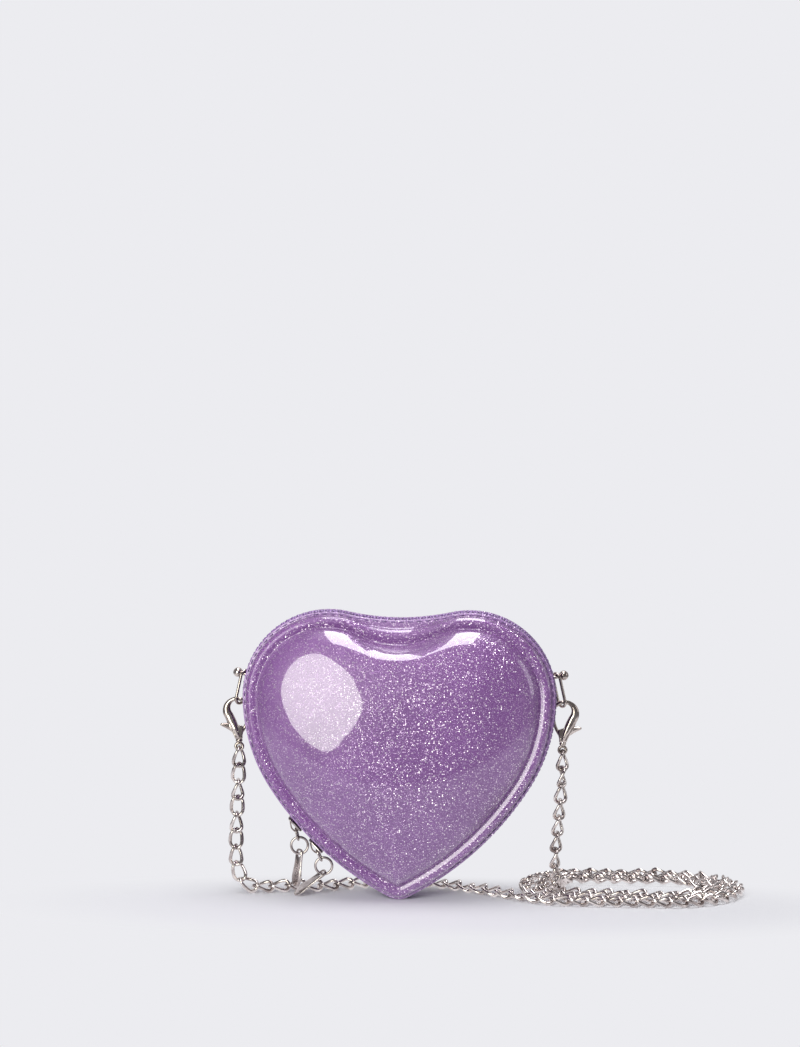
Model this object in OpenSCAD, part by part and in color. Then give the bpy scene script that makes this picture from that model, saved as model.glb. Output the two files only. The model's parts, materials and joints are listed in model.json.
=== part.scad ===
// Hard moulded heart purse: two domed shells joined by a zip, hung on a chain strap.
// The purse stands on its tip at the origin, its front faces -Y and +Z is up.

/* [Heart outline] */
// Radius of each lobe at the flange edge
lobe_r = 41.8; // [40.5:0.1:43.5]
// Half the distance between the lobe centres
lobe_x = 34.1; // [33.2:0.1:35.4]
// Radius of the arc down each side
side_r = 83; // [79:0.5:87]
// Angle that each side arc turns through
side_deg = 32.6; // [31.6:0.1:33.6]
// Radius of the long arc down to the tip
lower_r = 152.3; // [147:0.1:158]
// Radius of the rounded tip
tip_r = 10.35; // [10:0.05:11.5]
// Radius of the hollow between the lobes at the flange
notch_r = 117; // [105:1:130]
// Radius of the deeper hollow between the lobes at the bead
bead_notch_r = 53; // [50:0.5:56]
// Radius of the hollow between the lobes at the groove, where it is deepest
groove_notch_r = 34; // [31:0.5:38]

/* [Shells] */
// Wall of the moulded shells
wall_t = 1.6; // [1.3:0.1:1.9]
// Distance of each flange from the middle plane of the zip
flange_y = 4.8; // [4.7:0.1:5.4]
// Thickness of the flange
flange_t = 1.2; // [1:0.1:1.5]
// Width of the flange outside the bead
flange_w = 1.75; // [1.6:0.05:2]
// Width of the round bead inside the flange
bead_w = 5.6; // [5.5:0.05:6]
// Height of the bead over the flange
bead_h = 5.1; // [4.8:0.1:5.6]
// Height of the dome over the groove behind the bead
dome_h = 19.6; // [17:0.1:22]

/* [Zip] */
// Thickness of the zip tape
tape_t = 0.8; // [0.6:0.05:0.9]
// Depth of the tape below the flange edge
tape_in = 1; // [0.9:0.05:1.2]
// Width of the tape hem that lies on the flange
hem_w = 4.2; // [3.6:0.1:4.4]
// Distance between two teeth of one row
tooth_pitch = 3; // [2.8:0.1:3.2]
// Length of one tooth along the zip
tooth_l = 1.6; // [1.4:0.1:1.8]
// Width of one row of teeth
tooth_w = 2.25; // [2.1:0.05:2.3]
// Height of the teeth over the flange edge
tooth_out = 0.5; // [0.4:0.05:0.6]
// Angle down the lower arc at which the zip ends
zip_end_deg = 53.7; // [53.4:0.1:54]

/* [Sliders and pulls] */
// Angle down the lower arc of the upper slider
upper_slider_deg = 40.9; // [40.7:0.1:41.1]
// Distance between the two sliders along the zip
slider_step = 14.35; // [13.9:0.05:14.8]
// Length of a slider
slider_l = 9; // [8.4:0.1:9.2]
// Width of a slider
slider_w = 8.4; // [8:0.1:8.6]
// Thickness of the slider plates
slider_t = 1; // [0.8:0.05:1.1]
// Wire diameter of the link that hangs on the slider
pull_link_d = 1.1; // [1:0.05:1.2]
// Length of that link between its two ends
pull_link_l = 5.95; // [5.8:0.05:6.1]
// Wire diameter of the pull ring
pull_ring_d = 1.3; // [1.2:0.05:1.35]
// Radius of the pull ring to the middle of its wire
pull_ring_r = 4.1; // [4:0.05:4.2]
// Length of the pull tab below its hole
tab_l = 17; // [16.6:0.1:17.2]
// Width of the pull tab at its foot
tab_w = 7.6; // [7.2:0.1:7.8]
// Thickness of the pull tab
tab_t = 1; // [0.9:0.05:1.05]

/* [Studs and oval links] */
// Angle of the studs over the lobe centres
stud_deg = 12.4; // [11.9:0.1:12.9]
// Distance of the studs behind the middle plane
stud_y = 7.6; // [7.5:0.05:7.7]
// Diameter of the ball on each stud
ball_d = 4.8; // [4.6:0.1:5]
// Diameter of the neck behind the ball
neck_d = 1.8; // [1.7:0.05:1.9]
// Free length of the neck between collar and ball
neck_l = 3; // [2.9:0.05:3.1]
// Wire diameter of the oval link
oval_d = 1.5; // [1.4:0.05:1.55]
// Length of the oval link
oval_l = 18.2; // [17.9:0.1:18.5]
// Width of the oval link
oval_w = 7.2; // [7.1:0.05:7.4]
// Turn of the oval link about its long axis
oval_turn = 25; // [20:1:28]

/* [Clasps] */
// Wire diameter of the claw
claw_d = 2.6; // [2.4:0.05:2.7]
// Radius of the claw to the middle of its wire
claw_r = 5.2; // [5.1:0.05:5.3]
// Distance from the claw's top to the middle of the eye
clasp_l = 24.9; // [24.6:0.1:25.2]
// Thickness of the trigger
trigger_t = 1.5; // [1.4:0.05:1.55]
// Diameter of the trigger's pin
pin_d = 1; // [0.9:0.05:1.05]

/* [Chain] */
// Wire diameter of a chain link
wire_d = 1.4; // [1.3:0.05:1.4]
// Length of a chain link
link_l = 11.1; // [11:0.05:11.3]
// Width of a chain link
link_w = 7.2; // [7:0.05:7.3]
// Number of links in the chain
link_n = 124; // [122:2:126]
// Distance between two turns of the coiled chain
turn_gap = 7.8; // [7.6:0.05:8]

/* [Hidden] */
pvc = [0.54, 0.38, 0.63];
cloth = [0.47, 0.33, 0.55];
nickel = [0.75, 0.72, 0.70];
steel = [0.55, 0.53, 0.53];

// Clearance between faces that touch
seat_gap = 0.05;
// Running clearance between metal pieces
run_gap = 0.1;
// Overrun of a cut
cut = 1;
// Number of straight pieces along each arc of half the outline, for the shells and for the zip
arc_steps = [5, 12, 4, 4, 5];
zip_steps = [8, 30, 12, 12, 5];
// Places across and up the bead, outer skin
bead_shares = [[0, 0.01], [0, 0.44], [0.075, 0.74], [0.25, 0.94], [0.47, 1], [0.7, 0.9],
  [0.88, 0.66], [1, 0.5]];
// Places across and up the bead, inner skin, under the wall
bead_inner_shares = [[0.42, 1], [0.62, 0.95], [0.92, 0.58]];
// Size of each ring of the dome against the groove
dome_shares = [0.985, 0.95, 0.9, 0.8, 0.65, 0.45, 0.22];
// Roundness of the dome
dome_power = 2.2;
// Height of the dome's top over the tip against the lobe centres
dome_top_share = 0.84;

// Outline of the heart, right half, as arcs that run into each other
side_x = lobe_x + lobe_r - side_r;
lower_x = side_x + (side_r - lower_r) * cos(side_deg);
tip_deg = acos(-lower_x / (lower_r - tip_r));
lobe_z = tip_r + (lower_r - tip_r) * sin(tip_deg) - (lower_r - side_r) * sin(side_deg);
lower_z = lobe_z + (lower_r - side_r) * sin(side_deg);
function notch_z(nr) = lobe_z + sqrt(pow(nr + lobe_r, 2) - pow(lobe_x, 2));
function notch_deg(nr) = asin(lobe_x / (nr + lobe_r));
function arc(cx, cz, r, a, b, n, last = 0) =
  [for (i = [0 : n - 1 + last]) let (t = a + (b - a) * i / n) [cx + r * cos(t), cz + r * sin(t)]];
function half_heart(d, nr, end_deg, tip = 1, n = arc_steps) = concat(
  arc(0, notch_z(nr), nr - d, -90, -90 + notch_deg(nr), n[0]),
  arc(lobe_x, lobe_z, lobe_r + d, 90 + notch_deg(nr), 0, n[1]),
  arc(side_x, lobe_z, side_r + d, 0, -side_deg, n[2]),
  arc(lower_x, lower_z, lower_r + d, -side_deg, -end_deg, n[3], 1 - tip),
  tip == 0 ? [] : arc(0, tip_r, tip_r + d, -tip_deg, -90, n[4]));
function flip(p) = [for (i = [len(p) - 1 : -1 : 0]) [-p[i][0], p[i][1]]];
// Whole outline, clockwise from the notch, then back up the left
function heart(d, nr) =
  let (h = half_heart(d, nr, tip_deg), top = h[0])
  concat(h, [[0, -d]], [for (i = [len(h) - 1 : -1 : 1]) [-h[i][0], h[i][1]]]);
// Open outline of the zip, from its left end over the top to its right end
function zip_path(d, nr) =
  let (h = half_heart(d, nr, zip_end_deg, 0, zip_steps))
  concat([for (i = [len(h) - 1 : -1 : 1]) [-h[i][0], h[i][1]]], h);

heart_top = lobe_z + lobe_r;
dome_c = [0, lobe_z * dome_top_share];
bead_y = flange_y + flange_t;
groove_y = bead_y + bead_shares[7][1] * bead_h;
inner_scale = 1 - wall_t / (lobe_x + lobe_r);
function shrink(p, s) = [for (q = p) dome_c + s * (q - dome_c)];
function at_depth(p, y) = [for (q = p) [q[0], -y, q[1]]];
function bead_notch(share) = bead_notch_r + share * (groove_notch_r - bead_notch_r);
function dome_rise(s) = dome_h * pow(1 - pow(s, dome_power), 1 / dome_power);
groove = heart(-flange_w - bead_w, groove_notch_r);
outer_rings = concat(
  [at_depth(heart(0, notch_r), flange_y), at_depth(heart(0, notch_r), bead_y)],
  [for (b = bead_shares) at_depth(heart(-flange_w - b[0] * bead_w, bead_notch(b[0])),
    bead_y + b[1] * bead_h)],
  [for (s = dome_shares) at_depth(shrink(groove, s), groove_y + dome_rise(s))]);
inner_rings = concat(
  [at_depth(heart(-flange_w - wall_t, bead_notch_r), flange_y),
    at_depth(heart(-flange_w - wall_t, bead_notch_r), bead_y + bead_shares[1][1] * bead_h)],
  [for (b = bead_inner_shares) at_depth(heart(-flange_w - b[0] * bead_w, bead_notch(b[0])),
    bead_y + b[1] * bead_h - wall_t)],
  [at_depth(shrink(groove, inner_scale), groove_y - wall_t)],
  [for (s = dome_shares) at_depth(shrink(groove, s * inner_scale),
    groove_y - wall_t + dome_rise(s))]);

// Closed skin through rings that all have the same number of points
module skin(rings, first, last) {
  n = len(rings[0]);
  m = len(rings);
  points = concat([for (r = rings) each r], [first, last]);
  sides = [for (k = [0 : m - 2]) for (i = [0 : n - 1]) let (j = (i + 1) % n)
    each [[k * n + i, k * n + j, (k + 1) * n + j], [k * n + i, (k + 1) * n + j, (k + 1) * n + i]]];
  starts = [for (i = [0 : n - 1]) [n * m, (i + 1) % n, i]];
  ends = [for (i = [0 : n - 1]) [n * m + 1, (m - 1) * n + i, (m - 1) * n + (i + 1) % n]];
  polyhedron(points, concat(sides, starts, ends));
}
module shell() {
  inner_top = [dome_c[0], -(groove_y - wall_t + dome_h), dome_c[1]];
  outer_top = [dome_c[0], -(groove_y + dome_h), dome_c[1]];
  skin(concat([for (i = [len(inner_rings) - 1 : -1 : 0]) inner_rings[i]], outer_rings),
    inner_top, outer_top);
}
// Places on the outline: local +X points outwards, local +Z runs up the side
module on_lower_left(deg, out) {
  mirror([1, 0, 0]) translate([lower_x, 0, lower_z]) rotate([0, deg, 0])
    translate([lower_r + out, 0, 0]) children();
}
// Local +X points along the stud, away from the purse
module on_stud(side, out) {
  mirror([side < 0 ? 1 : 0, 0, 0]) translate([lobe_x, stud_y, lobe_z])
    rotate([0, -stud_deg, 0]) translate([out, 0, 0]) children();
}

module front_shell() {
  color(pvc) shell();
}
module back_shell() {
  color(pvc) difference() {
    mirror([0, 1, 0]) shell();
    for (side = [-1, 1]) {
      on_stud(side, lobe_r - flange_w + cut) rotate([0, -90, 0])
        cylinder(d = shank_d + 2 * seat_gap, h = wall_t + 2 * cut, $fn = 24);
      on_stud(side, lobe_r - flange_w - wall_t) rotate([0, -90, 0])
        cylinder(d = nut_w / cos(30) + 2 * run_gap, h = washer_t + nut_t + 6 * seat_gap, $fn = 24);
    }
  }
}

// Zip
tape_end_y = flange_y - seat_gap;
tape_edge = 0.9;
tooth_head = 0.35;
tooth_grip = 0.55;
strip_gap = 0.6;
module band(path_out, path_in, y0, y1) {
  n = len(path_in);
  translate([0, y1, 0]) rotate([90, 0, 0]) linear_extrude(height = y1 - y0)
    polygon(concat(path_out, [for (i = [n - 1 : -1 : 0]) path_in[i]]));
}
module tape() {
  band(zip_path(-tape_in, notch_r), zip_path(-tape_in - tape_t, notch_r), -tape_end_y, -tape_edge);
  band(zip_path(-tape_in, notch_r), zip_path(-flange_w - hem_w, bead_notch_r), -tape_end_y,
    -tape_end_y + tape_t);
}
module tooth() {
  top = tooth_out;
  bottom = -tape_in - tape_t - tape_t;
  linear_extrude(height = tooth_l, center = true) polygon([
    [top, tooth_head], [top, tooth_head + tooth_w], [-tape_in + seat_gap, tooth_head + tooth_w],
    [-tape_in + seat_gap, tooth_head + tooth_grip - 2 * seat_gap],
    [-tape_in - tape_t - seat_gap, tooth_head + tooth_grip - 2 * seat_gap],
    [-tape_in - tape_t - seat_gap, tooth_head + tooth_w], [bottom, tooth_head + tooth_w],
    [bottom, tooth_head]]);
}
// Teeth along one arc, as many as fit, each with its outer side on local +X
module arc_teeth(cx, cz, r, a, b, hollow, phase) {
  n = round(r * abs(b - a) * PI / 180 / tooth_pitch);
  for (i = [0 : n - 1]) {
    t = a + (b - a) * (i + phase) / n;
    translate([cx, 0, cz]) rotate([0, -t, 0]) translate([r, 0, 0])
      rotate([0, hollow ? 180 : 0, 0]) tooth();
  }
}
module tooth_row(phase) {
  last_deg = (stop_l + tooth_pitch) / lower_r * 180 / PI;
  for (side = [0, 1]) mirror([side, 0, 0]) {
    arc_teeth(0, notch_z(notch_r), notch_r, -90, -90 + notch_deg(notch_r), true,
      0.25 + (side == 0 ? phase : 0.5 - phase));
    arc_teeth(lobe_x, lobe_z, lobe_r, 90 + notch_deg(notch_r), 0, false,
      0.25 + (side == 0 ? phase : 0.5 - phase));
    arc_teeth(side_x, lobe_z, side_r, 0, -side_deg, false,
      0.25 + (side == 0 ? phase : 0.5 - phase));
    arc_teeth(lower_x, lower_z, lower_r, -side_deg, -zip_end_deg + last_deg, false,
      0.25 + (side == 0 ? phase : 0.5 - phase));
  }
}
module zip_tape_front() {
  color(cloth) tape();
}
module zip_tape_back() {
  color(cloth) mirror([0, 1, 0]) tape();
}
module zip_teeth_front() {
  color(pvc) mirror([0, 1, 0]) tooth_row(0);
}
module zip_teeth_back() {
  color(pvc) tooth_row(0.5);
}
stop_l = 2.6;
stop_h = 1.7;
module zip_stops() {
  stop_deg = zip_end_deg - stop_l / lower_r * 180 / PI;
  color(nickel) for (side = [0, 1]) mirror([side, 0, 0]) on_lower_left(stop_deg, 0)
    translate([-tape_in + seat_gap, -tooth_head / 2, -stop_l / 2])
      cube([stop_h, tooth_head * 3 / 2 + tooth_w, stop_l]);
}
// Cloth strip round the tip that the front shell folds down on
module hinge_strip() {
  h = half_heart(0, notch_r, tip_deg);
  function strip(d) = let (
    right = concat(arc(lower_x, lower_z, lower_r + d, -strip_deg, -tip_deg, arc_steps[3]),
      arc(0, tip_r, tip_r + d, -tip_deg, -90, arc_steps[4])))
    concat(right, [[0, -d]], flip(right));
  strip_deg = zip_end_deg + strip_gap / lower_r * 180 / PI;
  color(cloth) {
    band(strip(-tape_in), strip(-tape_in - tape_t), -tape_end_y, tape_end_y);
    for (side = [0, 1]) mirror([0, side, 0])
      band(strip(-tape_in), strip(-flange_w - hem_w), -tape_end_y, -tape_end_y + tape_t);
  }
}

// Sliders: local X outwards, Y across the zip, Z up along the zip
plate_out = 1.1;
plate_in = -3.1;
web_t = 0.5;
lip_t = 0.9;
lip_gap = 0.3;
bail_w = 2.2;
bail_l = 7;
lower_slider_deg = upper_slider_deg + slider_step / lower_r * 180 / PI;
bail_t = 0.9;
bail_h = 2.2;
slider_nose_share = 0.6;
module shield(thick, l, w) {
  nose = w * slider_nose_share;
  rotate([0, 90, 0]) linear_extrude(height = thick) polygon([
    [-l / 2, -w / 2], [-l / 2 + l / 5, -w / 2], [l / 2 - l / 8, -nose / 2], [l / 2, -nose / 3],
    [l / 2, nose / 3], [l / 2 - l / 8, nose / 2], [-l / 2 + l / 5, w / 2], [-l / 2, w / 2],
    [-l / 2 - l / 20, w / 4], [-l / 2 - l / 20, -w / 4]]);
}
module slider(nose_up) {
  color(steel) {
    rotate([nose_up ? 180 : 0, 0, 0]) {
      translate([plate_out, 0, 0]) shield(slider_t, slider_l, slider_w);
      translate([plate_in - slider_t, 0, 0]) shield(slider_t, slider_l, slider_w - lip_t);
      translate([plate_in - slider_t / 2, -web_t / 2, slider_l / 8])
        cube([plate_out - plate_in + slider_t, web_t, slider_l / 4]);
    }
    lip_y = slider_w / 2 - lip_t;
    translate([-tape_in + lip_gap, lip_y, -slider_l / 4])
      cube([plate_out + slider_t / 2 + tape_in - lip_gap, lip_t / 2, slider_l / 2]);
    translate([plate_in - slider_t / 2, lip_y, -slider_l / 4])
      cube([-tape_in - tape_t - lip_gap - plate_in + slider_t / 2, lip_t / 2, slider_l / 2]);
    translate([plate_out + slider_t / 2, bail_w / 2, 0]) rotate([90, 0, 0])
      linear_extrude(height = bail_w) difference() {
        polygon([[0, -bail_l / 2], [bail_h, -bail_l / 2], [bail_h + bail_t, -bail_l / 3],
          [bail_h + bail_t, 0], [bail_h + bail_t / 4, bail_l / 5], [bail_h * 2 / 3, bail_l / 3],
          [bail_h * 2 / 5, bail_l / 2], [0, bail_l / 2]]);
        polygon([[slider_t / 2, -bail_l / 2 + bail_t], [bail_h - bail_t / 3, -bail_l / 2 + bail_t],
          [bail_h, -bail_l / 3 + bail_t / 3], [bail_h, -bail_t / 3],
          [bail_h - bail_t * 3 / 4, bail_l / 5 - bail_t / 2], [slider_t / 2, bail_l / 3 - bail_t / 3]]);
      }
  }
}
module upper_slider() {
  on_lower_left(upper_slider_deg, 0) slider(true);
}
module lower_slider() {
  on_lower_left(lower_slider_deg, 0) slider(false);
}

// Pulls: each hangs from the low end of its slider's loop
function arc_point(deg, out) =
  [-lower_x - (lower_r + out) * cos(deg), 0, lower_z - (lower_r + out) * sin(deg)];
pull_link_w = 5.6;
hang_out = plate_out + slider_t + pull_link_d / 2 + seat_gap * 4;
hang_bend = (pull_link_w - pull_link_d) / 2;
hang_sag = hang_bend - sqrt(pow(hang_bend, 2) - pow(bail_w / 2, 2));
hang_deg = (bail_l / 2 - bail_t - pull_link_d / 2 - run_gap - hang_sag) / lower_r * 180 / PI;
upper_hang = arc_point(upper_slider_deg + hang_deg, hang_out);
lower_hang = arc_point(lower_slider_deg + hang_deg, hang_out);
upper_link_tilt = 13;
lower_link_tilt = 25;
ring_drop = pull_ring_r - pull_ring_d / 2 - pull_link_d / 2 - run_gap;
upper_ring_tilt = 10;
lower_ring_tilt = 20;
function below(p, tilt, l) = [p[0] + l * sin(tilt), p[1], p[2] - l * cos(tilt)];
upper_bar = below(upper_hang, upper_link_tilt, pull_link_l);
lower_bar = below(lower_hang, lower_link_tilt, pull_link_l);
upper_ring_c = below(upper_bar, upper_ring_tilt, ring_drop);
lower_ring_c = below(lower_bar, lower_ring_tilt, ring_drop);
upper_tab_turn = -1;
lower_tab_turn = -13;
upper_tab_tilt = -7;
lower_tab_tilt = -52.9;
tab_hole_d = 3.4;
tab_top = 2.5;
tab_neck_w = 5;

// Oval of round wire in the local YZ plane, with its ends a distance apart
module wire_oval(d, ends, w) {
  r = (w - d) / 2;
  h = ends / 2 - r;
  rotate([0, 90, 0]) {
    for (s = [0, 180]) rotate([0, 0, s]) translate([h, 0, 0]) rotate([0, 0, -90])
      rotate_extrude(angle = 180, $fn = 32) translate([r, 0]) circle(d = d, $fn = 16);
    for (s = [-1, 1]) translate([-h, s * r, 0]) rotate([0, 90, 0])
      cylinder(d = d, h = 2 * h, $fn = 16);
  }
}
module hung(top, tilt, l) {
  translate(top) rotate([0, -tilt, 0]) translate([0, 0, -l / 2]) children();
}
module pull_ring(c) {
  color(steel) translate(c) rotate([90, 0, 0])
    rotate_extrude($fn = 48) translate([pull_ring_r, 0]) circle(d = pull_ring_d, $fn = 16);
}
module pull_tab(c, turn, tilt) {
  color(steel) translate(below(c, turn, pull_ring_r)) rotate([0, -tilt, 0])
    translate([tab_t / 2, 0, 0]) rotate([0, -90, 0]) difference() {
      linear_extrude(height = tab_t) polygon([
        [tab_top, -tab_neck_w / 4], [tab_top * 3 / 4, -tab_neck_w * 2 / 5], [0, -tab_neck_w / 2],
        [-tab_l / 2, -tab_w * 2 / 5], [-tab_l * 3 / 4, -tab_w / 2], [-tab_l * 9 / 10, -tab_w * 2 / 5],
        [-tab_l, -tab_w / 5], [-tab_l, tab_w / 5], [-tab_l * 9 / 10, tab_w * 2 / 5],
        [-tab_l * 3 / 4, tab_w / 2], [-tab_l / 2, tab_w * 2 / 5], [0, tab_neck_w / 2],
        [tab_top * 3 / 4, tab_neck_w * 2 / 5], [tab_top, tab_neck_w / 4]]);
      translate([0, 0, -cut]) cylinder(d = tab_hole_d, h = tab_t + 2 * cut, $fn = 32);
    }
}
module upper_pull_link() {
  color(steel) hung(upper_hang, upper_link_tilt, pull_link_l)
    wire_oval(pull_link_d, pull_link_l, pull_link_w);
}
module lower_pull_link() {
  color(steel) hung(lower_hang, lower_link_tilt, pull_link_l)
    wire_oval(pull_link_d, pull_link_l, pull_link_w);
}
module upper_pull_ring() {
  pull_ring(upper_ring_c);
}
module lower_pull_ring() {
  pull_ring(lower_ring_c);
}
module upper_pull_tab() {
  pull_tab(upper_ring_c, upper_tab_turn, upper_tab_tilt);
}
module lower_pull_tab() {
  pull_tab(lower_ring_c, lower_tab_turn, lower_tab_tilt);
}

// Studs
collar_d = 3;
collar_t = 1.2;
shank_d = 1.9;
shank_l = 4;
washer_d = 3.4;
washer_t = 0.4;
nut_w = 3.2;
nut_t = 1.4;
stud_seat = lobe_r - flange_w + seat_gap;
neck_mid = stud_seat + collar_t + neck_l / 2;
ball_c = stud_seat + collar_t + neck_l + ball_d / 2 - seat_gap * 4;
module stud(side) {
  color(nickel) on_stud(side, 0) {
    translate([stud_seat, 0, 0]) rotate([0, 90, 0])
      cylinder(d1 = collar_d, d2 = collar_d * 3 / 4, h = collar_t, $fn = 32);
    translate([stud_seat - shank_l, 0, 0]) rotate([0, 90, 0])
      cylinder(d = shank_d, h = shank_l + cut / 2, $fn = 32);
    translate([stud_seat, 0, 0]) rotate([0, 90, 0])
      cylinder(d = neck_d, h = ball_c - stud_seat, $fn = 32);
    translate([ball_c, 0, 0]) sphere(d = ball_d, $fn = 48);
  }
}
module stud_washer(side) {
  color(steel) on_stud(side, lobe_r - flange_w - wall_t - washer_t - seat_gap)
    rotate([0, 90, 0]) difference() {
      cylinder(d = washer_d, h = washer_t, $fn = 32);
      translate([0, 0, -cut]) cylinder(d = shank_d + 2 * seat_gap, h = washer_t + 2 * cut, $fn = 32);
    }
}
module stud_nut(side) {
  color(steel) on_stud(side, lobe_r - flange_w - wall_t - washer_t - nut_t - 2 * seat_gap)
    rotate([0, 90, 0]) difference() {
      cylinder(d = nut_w / cos(30), h = nut_t, $fn = 6);
      translate([0, 0, -cut]) cylinder(d = shank_d + 2 * seat_gap, h = nut_t + 2 * cut, $fn = 32);
    }
}
module stud_left() {
  stud(-1);
}
module stud_right() {
  stud(1);
}
module stud_washer_left() {
  stud_washer(-1);
}
module stud_washer_right() {
  stud_washer(1);
}
module stud_nut_left() {
  stud_nut(-1);
}
module stud_nut_right() {
  stud_nut(1);
}

// Oval links hang on the necks, square to them but for a slight turn
oval_top = neck_d / 2 + run_gap + oval_d / 2;
oval_ends = oval_l - oval_d;
module oval_link(side) {
  color(nickel) on_stud(side, neck_mid) translate([0, 0, oval_top - oval_ends / 2])
    rotate([0, 0, oval_turn]) wire_oval(oval_d, oval_ends, oval_w);
}
module oval_link_left() {
  oval_link(-1);
}
module oval_link_right() {
  oval_link(1);
}

// Clasps hang on the low end of the oval links, local origin in the link's wire
oval_low = oval_ends - oval_top;
hook_x = lobe_x + neck_mid * cos(stud_deg) + oval_low * sin(stud_deg);
hook_z = lobe_z + neck_mid * sin(stud_deg) - oval_low * cos(stud_deg);
claw_x = 0.9;
claw_top = oval_d / 2 + run_gap + claw_d + 4 * seat_gap;
claw_z = claw_top - claw_d / 2 - claw_r;
claw_end = 150;
claw_foot = -42;
base_top = -13;
base_d = 4.8;
base_foot_d = 2.4;
arm_d = 3.4;
eye_r = 1.75;
eye_d = 1.2;
eye_z = claw_top - clasp_l;
base_low = eye_z + eye_r;
pivot = [0.2, 0, -13.8];
slot_w = 1.8;
slot_low = -16.4;
slot_top = -8.9;
hub_d = 2.8;
gate_r = 12;
gate_x = 7.7;
gate_z = -5.8;
gate_tip = 162.5;
gate_foot = 217;
thumb = [9, 0, -10.6];
lever_d = 1.6;
module on_clasp(side) {
  mirror([side < 0 ? 1 : 0, 0, 0]) translate([hook_x, stud_y, hook_z]) children();
}
// Tapered round bar between two points of the local XZ plane
module taper(a, b, d1, d2) {
  v = b - a;
  translate(a) rotate([0, atan2(v[0], v[2]), 0]) cylinder(d1 = d1, d2 = d2, h = norm(v), $fn = 24);
}
module clasp_body(side) {
  foot = [claw_x + claw_r * cos(claw_foot), 0, claw_z + claw_r * sin(claw_foot)];
  tip = [claw_x + claw_r * cos(claw_end), 0, claw_z + claw_r * sin(claw_end)];
  base = [pivot[0], 0, base_top];
  color(nickel) on_clasp(side) difference() {
    union() {
      translate([claw_x, 0, claw_z]) rotate([90, 0, 0]) rotate([0, 0, claw_foot])
        rotate_extrude(angle = claw_end - claw_foot, $fn = 64) translate([claw_r, 0])
          circle(d = claw_d, $fn = 20);
      translate(tip) sphere(d = claw_d, $fn = 20);
      taper(foot, base, claw_d, base_d);
      translate(base) sphere(d = base_d, $fn = 32);
      translate([pivot[0], 0, base_low]) cylinder(d1 = base_foot_d, d2 = base_d,
        h = base_top - base_low, $fn = 32);
      translate([0, 0, eye_z]) rotate([90, 0, 0]) rotate_extrude($fn = 32)
        translate([eye_r, 0]) circle(d = eye_d, $fn = 16);
    }
    translate([-base_d, -slot_w / 2, slot_low]) cube([base_d * 4, slot_w, slot_top - slot_low]);
    translate(pivot + [0, base_d, 0]) rotate([90, 0, 0])
      cylinder(d = pin_d + seat_gap, h = 2 * base_d, $fn = 24);
  }
}
module clasp_trigger(side) {
  color(nickel) on_clasp(side) difference() {
    union() {
      translate([gate_x, 0, gate_z]) rotate([90, 0, 0]) rotate([0, 0, gate_tip])
        rotate_extrude(angle = gate_foot - gate_tip, $fn = 96) translate([gate_r, 0])
          circle(d = trigger_t, $fn = 16);
      translate(pivot + [0, trigger_t / 2, 0]) rotate([90, 0, 0])
        cylinder(d = hub_d, h = trigger_t, $fn = 32);
      taper(pivot, thumb, lever_d, lever_d * 3 / 4);
      taper([gate_x + gate_r * cos(gate_foot), 0, gate_z + gate_r * sin(gate_foot)], pivot,
        trigger_t, trigger_t);
      translate(thumb) sphere(d = lever_d, $fn = 20);
    }
    translate(pivot + [0, base_d, 0]) rotate([90, 0, 0])
      cylinder(d = pin_d + 2 * seat_gap, h = 2 * base_d, $fn = 24);
  }
}
module clasp_pin(side) {
  color(steel) on_clasp(side) translate(pivot + [0, base_d * 2 / 5, 0]) rotate([90, 0, 0])
    cylinder(d = pin_d, h = base_d * 4 / 5, $fn = 24);
}
// Small coil between the trigger's hub and the floor of the slot
spring_d = 0.3;
spring_r = 0.5;
spring_turns = 2;
spring_steps = 8;
spring_h = pivot[2] - hub_d / 2 - slot_low;
module clasp_spring(side) {
  n = spring_turns * spring_steps;
  rise = spring_h - spring_d * 2;
  rings = [for (i = [0 : n]) let (a = 360 * i / spring_steps, z = slot_low + spring_d + rise * i / n)
    [for (k = [0 : 5]) let (q = 60 * k, r = spring_r + spring_d / 2 * cos(q))
      [pivot[0] + r * cos(a), r * sin(a), z + spring_d / 2 * sin(q)]]];
  a_end = [pivot[0] + spring_r, 0, slot_low + spring_d];
  b_end = [pivot[0] + spring_r, 0, slot_low + spring_d + rise];
  color(steel) on_clasp(side) skin(rings, a_end, b_end);
}
module clasp_body_left() {
  clasp_body(-1);
}
module clasp_body_right() {
  clasp_body(1);
}
module clasp_trigger_left() {
  clasp_trigger(-1);
}
module clasp_trigger_right() {
  clasp_trigger(1);
}
module clasp_pin_left() {
  clasp_pin(-1);
}
module clasp_pin_right() {
  clasp_pin(1);
}
module clasp_spring_left() {
  clasp_spring(-1);
}
module clasp_spring_right() {
  clasp_spring(1);
}

// Chain: it hangs from the left clasp, runs behind the tip, lies in a coil and climbs to the right
floor_z = (link_w - wire_d) / 2 * sin(45) + wire_d / 2 + 2 * seat_gap;
chain_top = hook_z + eye_z - (eye_r - eye_d / 2 - wire_d / 2 - seat_gap) - wire_d / 2;
left_end = [-hook_x, stud_y, chain_top];
right_end = [hook_x, stud_y, chain_top];
left_route = [[-79.6, 7.5, 56], [-80.2, 7, 42], [-80.7, 6.4, 28], [-80.8, 5.8, 18], [-80, 5.2, 10.5],
  [-76.2, 4.6, 5.2], [-69, 5, floor_z], [-60, 8, floor_z], [-51, 10.2, floor_z],
  [-41, 11.4, floor_z], [-31, 14.5, floor_z], [-21, 20, floor_z], [-10, 25, floor_z],
  [2, 26.5, floor_z], [14, 24.5, floor_z], [26, 19, floor_z], [37, 11.5, floor_z],
  [48, 3.5, floor_z], [59, -4.5, floor_z], [71, -11.6, floor_z], [82, -15, floor_z]];
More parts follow.
